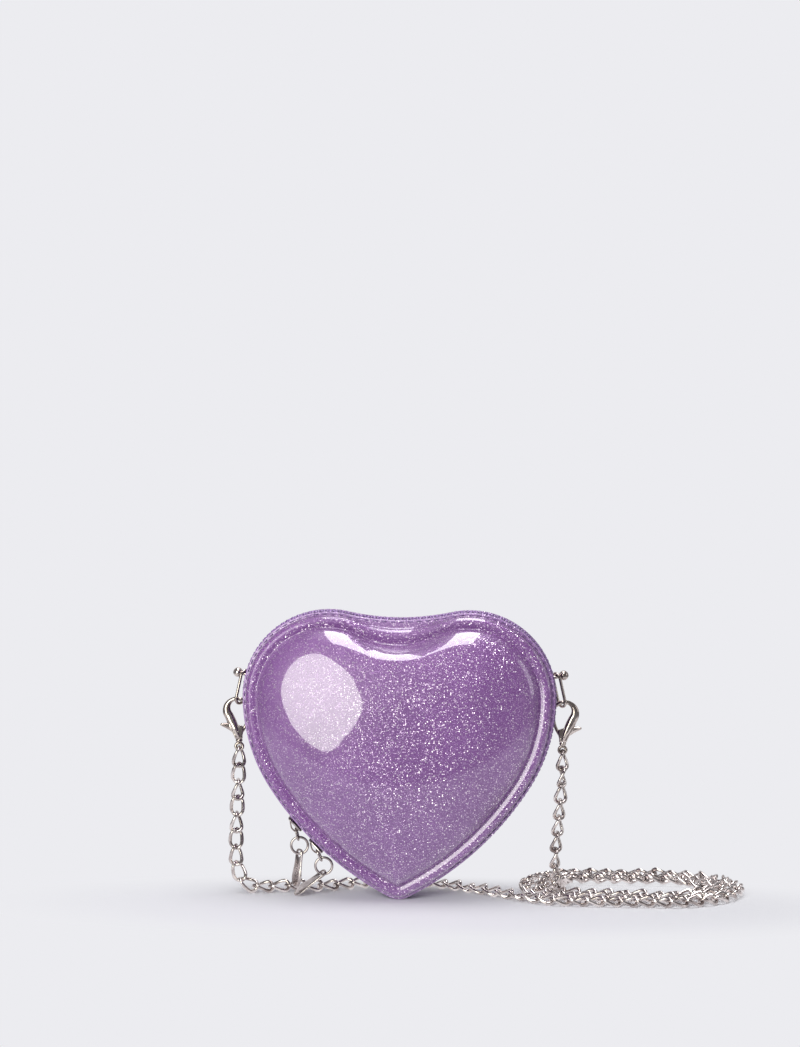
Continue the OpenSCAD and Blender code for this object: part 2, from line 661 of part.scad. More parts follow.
right_route = [[76, 12.5, 6.2], [75.4, 9.4, 12], [75.7, 8.2, 20], [76.7, 7.8, 31],
  [77.8, 7.7, 44], [78.8, 7.6, 57]];
coil_front_y = -15.6;
coil_back_y = 52.4;
coil_left_x = 91;
coil_right_x = 130.8;
coil_turns = 3;
coil_step = 15;
coil_r = (coil_back_y - coil_front_y) / 2;
coil_mid_y = (coil_back_y + coil_front_y) / 2;
function coil_right(k) = [for (a = [-90 : coil_step : 90])
  [coil_right_x + (coil_r - k * turn_gap) * cos(a), coil_mid_y + (coil_r - k * turn_gap) * sin(a),
    floor_z]];
function coil_left(k, stop) = [for (a = [90 : coil_step : stop])
  [coil_left_x + (coil_r - (k + 0.5) * turn_gap) * cos(a),
    coil_mid_y + turn_gap / 2 + (coil_r - (k + 0.5) * turn_gap) * sin(a), floor_z]];
coil_route = [for (k = [0 : coil_turns - 1])
  each concat(coil_right(k), coil_left(k, k == coil_turns - 1 ? 180 : 270))];
route = concat([left_end], left_route, coil_route, right_route, [right_end]);
function spline(p, i, t) = let (
    a = p[max(i - 1, 0)], b = p[i], c = p[i + 1], d = p[min(i + 2, len(p) - 1)])
  0.5 * (2 * b + (c - a) * t + (2 * a - 5 * b + 4 * c - d) * t * t
    + (3 * b - a - 3 * c + d) * t * t * t);
fine_steps = 4;
fine = concat([for (i = [0 : len(route) - 2]) for (k = [0 : fine_steps - 1])
  spline(route, i, k / fine_steps)], [route[len(route) - 1]]);
steps = [for (i = [0 : len(fine) - 2]) norm(fine[i + 1] - fine[i])];
sums = [for (i = 0, s = 0; i < len(fine); s = s + (i < len(steps) ? steps[i] : 0), i = i + 1) s];
chain_l = sums[len(sums) - 1];
link_pitch = chain_l / link_n;
table_x = [for (i = [0 : len(fine) - 1]) [sums[i], fine[i][0]]];
table_y = [for (i = [0 : len(fine) - 1]) [sums[i], fine[i][1]]];
table_z = [for (i = [0 : len(fine) - 1]) [sums[i], fine[i][2]]];
function along(s) = [lookup(s, table_x), lookup(s, table_y), lookup(s, table_z)];
function cross_unit(a, b) = let (c = cross(a, b)) c / norm(c);
// Roll of the links: square to the clasps in the drops, on edge at 45 degrees on the floor
lean_shares = [[0, 0], [0.03, 0], [0.07, 45], [0.93, 45], [0.97, 0], [1, 0]];
function lean(i) = lookup(i / link_n, lean_shares);
module link() {
  r = (link_w - wire_d) / 2;
  h = (link_l - link_w) / 2;
  for (s = [0, 180]) rotate([0, 0, s]) translate([h, 0, 0]) rotate([0, 0, -90])
    rotate_extrude(angle = 180, $fn = 24) translate([r, 0]) circle(d = wire_d, $fn = 16);
  for (s = [-1, 1]) translate([-h, s * r, 0]) rotate([0, 90, 0])
    cylinder(d = wire_d, h = 2 * h, $fn = 16);
}
module links(from, to) {
  color(steel) for (i = [from : to - 1]) {
    p = along(i * link_pitch);
    q = along((i + 1) * link_pitch);
    t = (q - p) / norm(q - p);
    flat = norm([t[0], t[1]]);
    heading = flat > 0.5 ? atan2(t[1], t[0]) : i < link_n / 2 ? 0 : -90;
    u = cross_unit(cross([-sin(heading), cos(heading), 0], t), t) * -1;
    w = cross(t, u);
    translate((p + q) / 2) rotate([atan2(u[2], w[2]), -asin(t[2]), atan2(t[1], t[0])])
      rotate([lean(i) + 90 * (i % 2), 0, 0]) link();
  }
}
module chain_left_drop() {
  links(0, 8);
}
module chain_floor_run() {
  links(8, 32);
}
module chain_coil_outer() {
  links(32, 65);
}
module chain_coil_middle() {
  links(65, 92);
}
module chain_coil_inner() {
  links(92, 115);
}
module chain_right_drop() {
  links(115, link_n);
}

front_shell();
back_shell();
zip_tape_front();
zip_tape_back();
zip_teeth_front();
zip_teeth_back();
zip_stops();
hinge_strip();
upper_slider();
upper_pull_link();
upper_pull_ring();
upper_pull_tab();
lower_slider();
lower_pull_link();
lower_pull_ring();
lower_pull_tab();
stud_left();
stud_right();
stud_washer_left();
stud_washer_right();
stud_nut_left();
stud_nut_right();
oval_link_left();
oval_link_right();
clasp_body_left();
clasp_body_right();
clasp_trigger_left();
clasp_trigger_right();
clasp_pin_left();
clasp_pin_right();
clasp_spring_left();
clasp_spring_right();
chain_left_drop();
chain_floor_run();
chain_coil_outer();
chain_coil_middle();
chain_coil_inner();
chain_right_drop();
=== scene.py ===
import json
import math
import bpy
import numpy as np
from mathutils import Matrix

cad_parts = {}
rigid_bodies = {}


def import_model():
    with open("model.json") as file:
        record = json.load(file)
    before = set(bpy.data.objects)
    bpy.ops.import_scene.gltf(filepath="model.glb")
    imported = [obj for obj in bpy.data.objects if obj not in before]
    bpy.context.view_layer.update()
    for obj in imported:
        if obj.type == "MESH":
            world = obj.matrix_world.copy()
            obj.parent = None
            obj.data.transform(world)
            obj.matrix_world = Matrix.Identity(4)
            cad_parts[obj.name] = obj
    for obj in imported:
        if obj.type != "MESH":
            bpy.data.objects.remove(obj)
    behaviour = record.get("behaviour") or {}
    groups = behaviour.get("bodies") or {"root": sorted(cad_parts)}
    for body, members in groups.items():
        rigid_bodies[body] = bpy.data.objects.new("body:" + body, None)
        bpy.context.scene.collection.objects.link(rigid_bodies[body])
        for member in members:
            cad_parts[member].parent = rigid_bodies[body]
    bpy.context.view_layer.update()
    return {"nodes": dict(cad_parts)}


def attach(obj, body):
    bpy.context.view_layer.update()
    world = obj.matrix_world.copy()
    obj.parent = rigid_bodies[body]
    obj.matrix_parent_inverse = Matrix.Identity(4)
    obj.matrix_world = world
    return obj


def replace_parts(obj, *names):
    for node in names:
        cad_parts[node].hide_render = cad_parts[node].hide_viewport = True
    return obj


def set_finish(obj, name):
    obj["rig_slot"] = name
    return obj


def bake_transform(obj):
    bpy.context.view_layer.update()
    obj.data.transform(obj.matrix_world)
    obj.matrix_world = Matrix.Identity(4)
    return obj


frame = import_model()


def cos_sin(deg):
    """Cosine and sine of an angle in degrees."""
    return math.cos(math.radians(deg)), math.sin(math.radians(deg))


# Every size below is in millimetres until it goes into a mesh.
MM = 0.001
RUN_GAP, SEAT_GAP = 0.1, 0.05

# Outline: lobes, sides, lower arcs, tip, and the hollow between the lobes at flange, bead and groove
LOBE_R, LOBE_X = 41.8, 34.1
SIDE_R, SIDE_DEG = 83.0, 32.6
LOWER_R, TIP_R = 152.3, 10.35
NOTCH_R, BEAD_NOTCH_R, GROOVE_NOTCH_R = 117.0, 53.0, 34.0
SIDE_X = LOBE_X + LOBE_R - SIDE_R
SIDE_COS, SIDE_SIN = cos_sin(SIDE_DEG)
LOWER_X = SIDE_X + (SIDE_R - LOWER_R) * SIDE_COS
TIP_DEG = math.degrees(math.acos(-LOWER_X / (LOWER_R - TIP_R)))
LOWER_Z = TIP_R + (LOWER_R - TIP_R) * cos_sin(TIP_DEG)[1]
LOBE_Z = LOWER_Z - (LOWER_R - SIDE_R) * SIDE_SIN

# Section of a shell, outwards from the zip's middle plane
FLANGE_Y, FLANGE_T, FLANGE_W = 4.8, 1.2, 1.75
BEAD_W, BEAD_H, DOME_H, WALL = 5.6, 5.1, 19.6, 1.6
BEAD_Y = FLANGE_Y + FLANGE_T
GROOVE_Y = BEAD_Y + BEAD_H / 2

# Zip, its sliders and their pulls; angles go down the lower arc, from level with its centre
ZIP_END_DEG = 53.7
TOOTH_PITCH = 3.0
LAST_TOOTH_DEG = ZIP_END_DEG - math.degrees(5.6 / LOWER_R)
UPPER_SLIDER_DEG, SLIDER_STEP = 40.9, 14.35
LOWER_SLIDER_DEG = UPPER_SLIDER_DEG + math.degrees(SLIDER_STEP / LOWER_R)
SLIDER_L, SLIDER_W, SLIDER_T = 9.0, 8.4, 1.0
PLATE_OUT, PLATE_IN = 1.1, -3.1
LOOP_W, LOOP_L, LOOP_T = 2.2, 7.0, 0.9
PULL_WIRE, PULL_LINK_L, PULL_LINK_W = 1.1, 5.95, 5.6
RING_WIRE, RING_R = 1.3, 4.1
TAB_HOLE_R, TAB_T = 1.7, 1.0

# Studs, and the oval links that hang on their necks
STUD_DEG, STUD_Y, STUD_SEAT, SHANK_L = 12.4, 7.6, 40.1, 4.0
COLLAR_T, NECK_L, NECK_D = 1.2, 3.0, 1.8
BALL_D, BALL_C = 4.8, 46.5
NECK_MID = STUD_SEAT + COLLAR_T + NECK_L / 2
OVAL_WIRE, OVAL_L, OVAL_W, OVAL_TURN = 1.5, 18.2, 7.2, 38
OVAL_TOP = NECK_D / 2 + RUN_GAP + OVAL_WIRE / 2
OVAL_ENDS = OVAL_L - OVAL_WIRE

# Clasps: they hang on the low end of the ovals, at HOOK on the right side; EYE_DRAWN is the drawn wire
HOOK_DROP = OVAL_ENDS - OVAL_TOP
STUD_COS, STUD_SIN = cos_sin(STUD_DEG)
HOOK = np.round([LOBE_X + NECK_MID * STUD_COS + HOOK_DROP * STUD_SIN, STUD_Y,
                 LOBE_Z + NECK_MID * STUD_SIN - HOOK_DROP * STUD_COS], 4)
CLAW_D, CLAW_R, CLAW_X, CLASP_L = 2.6, 5.2, 0.9, 24.9
CLAW_TOP = OVAL_WIRE / 2 + RUN_GAP + CLAW_D + 4 * SEAT_GAP
CLAW_Z = CLAW_TOP - CLAW_D / 2 - CLAW_R
EYE_R, EYE_WIRE, EYE_DRAWN = 1.75, 1.2, 1.5
EYE_Z = CLAW_TOP - CLASP_L

# Chain: WIRE sets where its line lies, CHAIN_WIRE how thick its links are drawn
LINKS, LINK_L, LINK_W, LINK_TWIST = 124, 11.1, 7.2, 45.0
WIRE, CHAIN_WIRE = 1.4, 1.8
DROP_LINKS, TOP_LINKS, HALF = 9, 3, 62
FLOOR_Z = (LINK_W - WIRE) / 2 * cos_sin(LINK_TWIST)[1] + WIRE / 2 + RUN_GAP
CHAIN_TOP = HOOK[2] + EYE_Z - EYE_R + EYE_WIRE / 2 + SEAT_GAP


# Camera: a long lens a little to the right of the purse and a little above it.
def look(obj, place, target):
    """Turns obj, put at place, so that its -Z axis points at target and its top stays up."""
    z = np.subtract(place, target)
    x = np.cross([0, 0, 1], z)
    axes = np.stack([x, np.cross(z, x), z], 1)
    m = np.eye(4)
    m[:3, :3], m[:3, 3] = axes / np.linalg.norm(axes, axis=0), place
    obj.matrix_world = Matrix(m.tolist())


CAMERA_AIM = np.array([0.7, -5.4, 183.9])
CAMERA_FROM = np.array([0.0, 0.0, 70.0])
CAMERA_FAR, CAMERA_AZ, CAMERA_EL = 1800.0, 4.0, 9.5
CAMERA_LENS, SENSOR_W = 127.0, 36
camera = bpy.data.objects.new("camera", bpy.data.cameras.new("camera"))
bpy.context.collection.objects.link(camera)
camera.data.sensor_width = SENSOR_W
camera.data.lens = CAMERA_LENS
(az_cos, az_sin), (el_cos, el_sin) = cos_sin(CAMERA_AZ), cos_sin(CAMERA_EL)
towards = np.array([el_cos * az_sin, -el_cos * az_cos, el_sin])
look(camera, (CAMERA_FROM + CAMERA_FAR * towards) * MM, CAMERA_AIM * MM)
bpy.context.scene.camera = camera


# Lines
def arc(cx, cz, r, a, b, n, last=False):
    """n points of a circle from angle a to b in degrees, and one more at b where last is asked."""
    t = np.radians(np.linspace(a, b, n + 1 if last else n, endpoint=last))
    return np.column_stack([cx + r * np.cos(t), cz + r * np.sin(t)])


def at_depth(ring, y):
    """A ring of (x, z) points at a depth y in front of the middle plane."""
    ring = np.asarray(ring, float)
    return np.column_stack([ring[:, 0], np.full(len(ring), -y), ring[:, 1]])


def mirrored(half):
    """A closed outline from its right half, which starts and ends on the middle line."""
    return np.vstack([half, half[-2:0:-1] * [-1, 1]])


def smooth_line(points, n, closed=False):
    """Catmull-Rom line through points, n places to each of its spans."""
    p = np.asarray(points, float)
    count = len(p) if closed else len(p) - 1
    i = np.repeat(np.arange(count), n)
    t = np.tile(np.arange(n) / n, count)[:, None]
    a, b, c, d = (p[k % len(p) if closed else np.clip(k, 0, len(p) - 1)] for k in (i - 1, i, i + 1, i + 2))
    line = 0.5 * (2 * b + (c - a) * t + (2 * a - 5 * b + 4 * c - d) * t * t
                  + (3 * b - a - 3 * c + d) * t ** 3)
    return line if closed else np.vstack([line, p[-1:]])


def stadium(ends, width, n):
    """Closed line of n evenly spaced points in the XY plane, with its long axis on X: two half circles
    of radius width / 2 joined by straights, ends apart from end to end."""
    r = width / 2
    h = ends / 2 - r
    half = 2 * h + math.pi * r
    s = (np.arange(n) + 0.5) * 2 * half / n
    side = np.where(s < half, 1, -1)
    u = np.where(s < half, s, s - half)
    t = (u - 2 * h) / r - math.pi / 2
    x = np.where(u < 2 * h, u - h, h + r * np.cos(t))
    y = np.where(u < 2 * h, -r, r * np.sin(t))
    return np.column_stack([side * x, side * y, np.zeros(n)])


# Meshes: a part is points, quads and triangles
NO_TRIS = np.zeros((0, 3), int)


def grid_quads(rows, cols, wrap_rows=False):
    """Quads of a rows by cols grid of points, numbered row by row, wrapped along each row."""
    r = np.arange(rows if wrap_rows else rows - 1)[:, None]
    c = np.arange(cols)[None, :]
    r1, c1 = (r + 1) % rows, (c + 1) % cols
    return np.stack([r * cols + c, r * cols + c1, r1 * cols + c1, r1 * cols + c], -1).reshape(-1, 4)


def fan(centre, ring):
    """Triangles between one point and a closed ring of points."""
    return np.stack([np.full(len(ring), centre), np.roll(ring, -1), ring], -1)


def skin(rings, start, end):
    """A part from rings of points that follow each other, closed by fans from a point at both ends."""
    rows, cols, _ = rings.shape
    first, last = np.arange(cols), (rows - 1) * cols + np.arange(cols)
    fans = np.vstack([fan(rows * cols, first), fan(rows * cols + 1, last)[:, ::-1]])
    return np.vstack([rings.reshape(-1, 3), start, end]), grid_quads(rows, cols), fans


def piece(name, points, quads, tris, slot, sharp, **attributes):
    """A mesh object of points in millimetres, turned right side out by its signed volume. Further
    keywords are attributes, one number for each point."""
    p = np.asarray(points, float).reshape(-1, 3)
    every = np.vstack([quads[:, [0, 1, 2]], quads[:, [0, 2, 3]], tris])
    a, b, c = p[every[:, 0]], p[every[:, 1]], p[every[:, 2]]
    if np.einsum("ij,ij->i", a, np.cross(b, c)).sum() < 0:
        quads, tris = quads[:, ::-1], tris[:, ::-1]
    mesh = bpy.data.meshes.new(name)
    mesh.from_pydata((p * MM).tolist(), [], quads.tolist() + tris.tolist())
    mesh.polygons.foreach_set("use_smooth", np.ones(len(mesh.polygons), bool))
    if sharp:
        mesh.set_sharp_from_angle(angle=math.radians(sharp))
    for key, value in attributes.items():
        mesh.attributes.new(key, "FLOAT", "POINT").data.foreach_set(
            "value", np.asarray(value, np.float32).ravel())
    obj = bpy.data.objects.new(name, mesh)
    bpy.context.collection.objects.link(obj)
    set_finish(obj, slot)
    return obj


def copies(part, turn, centre):
    """A part of quads repeated at arrays of rotations and centres."""
    points, quads, _ = part
    turned = np.einsum("nij,kj->nki", turn, points) + centre[:, None, :]
    shift = np.arange(len(turned))[:, None, None] * len(points)
    return turned.reshape(-1, 3), (quads[None] + shift).reshape(-1, 4), NO_TRIS


def joined(parts):
    """Several parts as one."""
    first = np.cumsum([0] + [len(part[0]) for part in parts])
    faces = [np.vstack([part[k] + n for part, n in zip(parts, first)]) for k in (1, 2)]
    return np.vstack([part[0] for part in parts]), *faces


def tube(path, binormal, in_plane, across, sides=16, closed=False):
    """A bar along a path that lies in one plane: centre + a cos(q) normal + b sin(q) binormal.
    in_plane and across are its half widths, one number or one for each point of the path."""
    path, binormal = np.asarray(path, float), np.asarray(binormal, float)
    n = len(path)
    step = np.roll(path, -1, 0) - np.roll(path, 1, 0) if closed else np.gradient(path, axis=0)
    step /= np.linalg.norm(step, axis=1)[:, None]
    normal = np.cross(binormal, step)
    q = np.arange(sides) * 2 * math.pi / sides
    a, b = np.broadcast_to(in_plane, n)[:, None, None], np.broadcast_to(across, n)[:, None, None]
    ring = (path[:, None] + a * np.cos(q)[None, :, None] * normal[:, None]
            + b * np.sin(q)[None, :, None] * binormal)
    if closed:
        return ring.reshape(-1, 3), grid_quads(n, sides, wrap_rows=True), NO_TRIS
    return skin(ring, path[0], path[-1])


def revolved(profile, n):
    """A closed solid of revolution about X from (x, radius) pairs that start and end on the axis."""
    profile = np.asarray(profile, float)
    q = np.arange(n) * 2 * math.pi / n
    x, r = profile[1:-1, :1], profile[1:-1, 1:]
    ring = np.stack([np.broadcast_to(x, (len(x), n)), r * np.cos(q), r * np.sin(q)], -1)
    return skin(ring, [profile[0, 0], 0, 0], [profile[-1, 0], 0, 0])


def rounded_plate(outline, thickness, edge, bulge=0.0):
    """A plate on a closed (y, z) outline, x from 0 to thickness, with round edges of radius edge
    and faces that swell by bulge at the middle."""
    outline = np.asarray(outline, float)
    mid = outline.mean(0)
    size = np.linalg.norm(outline - mid, axis=1).mean()
    rows = [(k, -bulge * (1 - k * k)) for k in (0.35, 0.7)]
    rows += [(1 - edge * (1 - math.sin(t)) / size, edge * (1 - math.cos(t)))
             for t in np.linspace(0, math.pi / 2, 4)]
    rows += [(s, thickness - x) for s, x in reversed(rows)]
    ring = np.stack([np.column_stack([np.full(len(outline), x), mid + s * (outline - mid)]) for s, x in rows])
    return skin(ring, [-bulge, *mid], [thickness + bulge, *mid])


def superblock(half, power, rows=6, cols=8):
    """A box with round edges: |x/a|^power + |y/b|^power + |z/c|^power = 1, as a grid of two angles."""
    v = ((np.arange(rows) + 0.5) / rows * math.pi - math.pi / 2)[:, None]
    u = (np.arange(cols) + 0.5) * 2 * math.pi / cols
    d = np.stack([np.cos(v) * np.cos(u), np.cos(v) * np.sin(u), np.sin(v) + 0 * u], -1)
    d = d / ((np.abs(d) ** power).sum(-1) ** (1 / power))[..., None]
    points = np.vstack([d.reshape(-1, 3), [[0, 0, -1], [0, 0, 1]]]) * np.asarray(half)
    low, high = np.arange(cols), (rows - 1) * cols + np.arange(cols)
    caps = [np.column_stack([np.full(cols // 2, e), ring[0::2], ring[1::2], np.roll(ring, -2)[0::2]])
            for e, ring in ((rows * cols, low[::-1]), (rows * cols + 1, high))]
    return points, np.vstack([grid_quads(rows, cols), *caps]), NO_TRIS


# Chain route, the same points as the part's own
coil_front, coil_back, coil_left, coil_right, turns, turn_gap = -15.6, 52.4, 91.0, 130.8, 3, 7.8
coil_r, coil_y = (coil_back - coil_front) / 2, (coil_back + coil_front) / 2
left_route = [[-79.6, 7.5, 56], [-80.2, 7, 42], [-80.7, 6.4, 28], [-80.8, 5.8, 18], [-80, 5.2, 10.5],
              [-76.2, 4.6, 5.2]]
floor_route = [[-69, 5], [-60, 8], [-51, 10.2], [-41, 11.4], [-31, 14.5], [-21, 20], [-10, 25], [2, 26.5],
               [14, 24.5], [26, 19], [37, 11.5], [48, 3.5], [59, -4.5], [71, -11.6], [82, -15]]
right_route = [[76, 12.5, 6.2], [75.4, 9.4, 12], [75.7, 8.2, 20], [76.7, 7.8, 31], [77.8, 7.7, 44],
               [78.8, 7.6, 57]]
coil_step, route_fine = 15, 4
coil_route = []
for k in range(turns):
    r = coil_r - k * turn_gap
    end = 180 if k == turns - 1 else 270
    coil_route += arc(coil_right, coil_y, r, -90, 90, 180 // coil_step, True).tolist()
    coil_route += arc(coil_left, coil_y + turn_gap / 2, r - turn_gap / 2, 90, end,
                      (end - 90) // coil_step, True).tolist()
route = np.array([[-HOOK[0], STUD_Y, CHAIN_TOP]] + left_route
                 + [[x, y, FLOOR_Z] for x, y in floor_route + coil_route]
                 + right_route + [[HOOK[0], STUD_Y, CHAIN_TOP]])
route = smooth_line(route, route_fine)
reach = np.concatenate([[0], np.cumsum(np.linalg.norm(np.diff(route, axis=0), axis=1))])
PITCH = reach[-1] / LINKS


def along(s):
    """Point of the chain's line at distance s from its left end."""
    return np.stack([np.interp(s, reach, route[:, k]) for k in range(3)], -1)


def curb_link(n=28, sides=8):
    """A link of round wire on a stadium line, then twisted about its long axis by x / half length."""
    line = stadium(LINK_L - WIRE, LINK_W - WIRE, n)
    points, quads, _ = tube(line, [0, 0, 1], CHAIN_WIRE / 2, CHAIN_WIRE / 2, sides, closed=True)
    x, y, z = points.T
    a = np.radians(LINK_TWIST) * x / ((LINK_L - WIRE) / 2)
    c, s = np.cos(a), np.sin(a)
    return np.column_stack([x, c * y - s * z, s * y + c * z]), quads, NO_TRIS


# Roll of the links in degrees at some of them, steep in the drops and low on the floor, with some chance
ROLLS = np.array([[0, 62], [6, 66], [9, 24], [20, 10], [60, 16], [100, 12], [114, 20], [118, 64],
                  [124, 68]], float)
FLOOR_CHANCE, DROP_CHANCE = 7, 16
rng = np.random.default_rng(7)
wobble = rng.normal(0, FLOOR_CHANCE, LINKS)
wobble[:DROP_LINKS] = rng.normal(0, DROP_CHANCE, DROP_LINKS)
wobble[-DROP_LINKS:] = rng.normal(0, DROP_CHANCE, DROP_LINKS)
# A link whose middle is lower than REST_BELOW starts to rest on the floor, and does so fully REST_FADE lower
REST_BELOW, REST_FADE, REST_Z, REST_MOST = 12, 6, 0.06, 0.9


def chain(name, first, last):
    """Links first to last of the chain, each lying between two points a pitch apart on the line."""
    i = np.arange(first, last)
    p, q = along(i * PITCH), along((i + 1) * PITCH)
    t = (q - p) / np.linalg.norm(q - p, axis=1)[:, None]
    flat = np.linalg.norm(t[:, :2], axis=1) > 0.5
    heading = np.where(flat, np.arctan2(t[:, 1], t[:, 0]), np.where(i < LINKS / 2, 0.0, -math.pi / 2))
    side = np.stack([-np.sin(heading), np.cos(heading), 0 * heading], -1)
    u = side - np.einsum("ij,ij->i", side, t)[:, None] * t
    u /= np.linalg.norm(u, axis=1)[:, None]
    w = np.cross(t, u)
    roll = np.radians(np.interp(i, ROLLS[:, 0], ROLLS[:, 1]) + wobble[i])[:, None]
    v = np.cos(roll) * u + np.sin(roll) * w
    middle = (p + q) / 2
    points, quads, _ = copies(curb_link(), np.stack([t, v, np.cross(t, v)], -1), middle)
    each = points.reshape(len(i), -1, 3)
    low = each[:, :, 2].min(1)
    on_floor = np.clip((REST_BELOW - middle[:, 2]) / REST_FADE, 0, 1)
    each[:, :, 2] -= (on_floor * np.minimum(low - REST_Z, REST_MOST))[:, None]
    return piece(name, each, quads, NO_TRIS, slot="dark_nickel", sharp=0)


chain_top_left = chain("chain_top_left", 0, TOP_LINKS)
chain_left = chain("chain_left", TOP_LINKS, HALF)
chain_right = chain("chain_right", HALF, LINKS - TOP_LINKS)
chain_top_right = chain("chain_top_right", LINKS - TOP_LINKS, LINKS)
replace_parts(chain_left, "chain_left_drop", "chain_floor_run", "chain_coil_outer")
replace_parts(chain_right, "chain_coil_middle", "chain_coil_inner", "chain_right_drop")
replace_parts(chain_top_left, "chain_left_drop")
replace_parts(chain_top_right, "chain_right_drop")
for obj, ends, first, last, top in ((chain_left, "left", TOP_LINKS, HALF, chain_top_left),
                                    (chain_right, "right", LINKS - TOP_LINKS, HALF, chain_top_right)):
    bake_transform(obj)
    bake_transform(top)

# Outline of the heart: points in each of its arcs, from the hollow to the tip
COUNTS = (16, 90, 36, 60, 16)


def notch(nr):
    """Centre height and half angle of the hollow of radius nr between the lobes."""
    span = nr + LOBE_R
    return LOBE_Z + math.sqrt(span ** 2 - LOBE_X ** 2), math.degrees(math.asin(LOBE_X / span))


def half_heart(d, nr, end_deg=None, counts=COUNTS):
    """Right half of the outline moved out by d: hollow, lobe, side, lower arc and rounded tip."""
    z, q = notch(nr)
    parts = [arc(0, z, nr - d, -90, -90 + q, counts[0]),
             arc(LOBE_X, LOBE_Z, LOBE_R + d, 90 + q, 0, counts[1]),
             arc(SIDE_X, LOBE_Z, SIDE_R + d, 0, -SIDE_DEG, counts[2])]
    if end_deg:
        parts.append(arc(LOWER_X, LOWER_Z, LOWER_R + d, -SIDE_DEG, -end_deg, counts[3], True))
    else:
        parts += [arc(LOWER_X, LOWER_Z, LOWER_R + d, -SIDE_DEG, -TIP_DEG, counts[3]),
                  arc(0, TIP_R, TIP_R + d, -TIP_DEG, -90, counts[4])]
    return np.vstack(parts)


def heart(d, nr):
    """The whole outline as a closed ring of points."""
    h = half_heart(d, nr)
    return np.vstack([h, [[0, -d]], h[:0:-1] * [-1, 1]])


# Shells: rings of the outline carried over the flange, the bead, the groove and the dome
GROOVE = heart(-FLANGE_W - BEAD_W, GROOVE_NOTCH_R)
# Rows over the flange: how far out of the outline and how deep, then with the hollow's radius between
FLANGE_ROWS = ((-0.7, 4.8), (-0.25, 4.82), (-0.04, 4.95), (0, 5.2), (0, 5.6), (-0.06, 5.85), (-0.3, 5.98))
FLANGE_TOP_ROWS = ((-0.9, 100.0, 6.02), (-1.5, 66.0, 6.06))
# Rows over the bead: share of its width and share of its height; the inner skin has fewer of both
BEAD = smooth_line([[0, 0.04], [0, 0.44], [0.075, 0.74], [0.25, 0.94], [0.47, 1], [0.7, 0.9], [0.88, 0.68],
                    [0.97, 0.53]], 5)
INNER_FLANGE_Y = (4.8, 6.5, 8.24)
INNER_BEAD = ((0.42, 1), (0.62, 0.95), (0.8, 0.78), (0.92, 0.58))
RIM_LAST = (0.8, 0.35)
# Dome: s^power + (rise / height)^power = 1; its rings turn from the groove's heart to an oval crown
DOME_C = np.array([0.0, LOBE_Z * 0.84])
DOME_POWER, DOME_ROWS, INNER_DOME_ROWS = 2.2, 52, 24
DOME_DEGS, DOME_CROWDING = (3, 89), 1.35
SOFT_SPAN, CROWN_FROM, CROWN_SPAN, TURN_MOST = 0.32, 0.95, 0.6, 0.95
CROWN_UP, CROWN_SIDE, CROWN_DOWN = 46.0, 58.0, 64.0


def ease(x):
    """Smooth step x x (3 - 2 x) from 0 to 1."""
    x = min(1, max(0, x))
    return x * x * (3 - 2 * x)


def eased(ring, width):
    """The ring with its hollow filled and its corners eased by a Gaussian over that many points."""
    full = ring.copy()
    between = (np.abs(full[:, 0]) < LOBE_X) & (full[:, 1] > LOBE_Z)
    full[between, 1] = full[:, 1].max()
    away = np.minimum(np.arange(len(full)), len(full) - np.arange(len(full)))
    bell = np.exp(-0.5 * (away / width) ** 2)
    spread = np.fft.fft(bell / bell.sum())[:, None]
    return np.real(np.fft.ifft(np.fft.fft(full, axis=0) * spread, axis=0))


def crown(ring):
    """Oval round the dome's centre, with a point in the direction of each point of the ring."""
    away = ring - DOME_C
    away /= np.linalg.norm(away, axis=1)[:, None]
    tall = np.where(away[:, 1] > 0, CROWN_UP, CROWN_DOWN)
    return DOME_C + away / np.hypot(away[:, 0] / CROWN_SIDE, away[:, 1] / tall)[:, None]


SOFT_GROOVE = eased(GROOVE, 14)
CROWN = crown(SOFT_GROOVE)


def bead_ring(share):
    """Outline at a share of the way across the bead; its hollow between the lobes deepens inwards."""
    return heart(-FLANGE_W - share * BEAD_W, BEAD_NOTCH_R + share * (GROOVE_NOTCH_R - BEAD_NOTCH_R))


def dome_rings(scale, base, n):
    """Rings of the dome from the groove to near its top, where s shrinks from 1 to 0."""
    rows = []
    low, high = DOME_DEGS
    for t in np.radians(low + (high - low) * np.linspace(0, 1, n) ** DOME_CROWDING):
        s, rise = math.cos(t) ** (2 / DOME_POWER), DOME_H * math.sin(t) ** (2 / DOME_POWER)
        soft = TURN_MOST * ease((1 - s) / SOFT_SPAN)
        ring = GROOVE * (1 - soft) + SOFT_GROOVE * soft
        ring += (CROWN - ring) * TURN_MOST * ease((CROWN_FROM - s) / CROWN_SPAN)
        rows.append(at_depth(DOME_C + s * scale * (ring - DOME_C), base + rise))
    return rows


def soften(rings, first, width=1.9, run_in=4, run_out=20):
    """Depths of the rings after number first, averaged along the section with a Gaussian of that width,
    so that the bead runs into the groove and the groove into the dome without a crease. It comes in
    over run_in millimetres of the section and ends over the last run_out."""
    stack = np.stack(rings)
    section = stack[:, COUNTS[0] + COUNTS[1] // 2]
    step = np.append(0, np.cumsum(np.linalg.norm(np.diff(section, axis=0), axis=1)))
    weight = np.exp(-0.5 * ((step[:, None] - step[None]) / width) ** 2) * np.gradient(step)
    mean = weight @ section[:, 1] / weight.sum(1)
    how = np.clip((step - step[first]) / run_in, 0, 1) * np.clip((step[-1] - step) / run_out, 0, 1)
    stack[:, :, 1] += (how * (mean - section[:, 1]))[:, None]
    return list(stack)


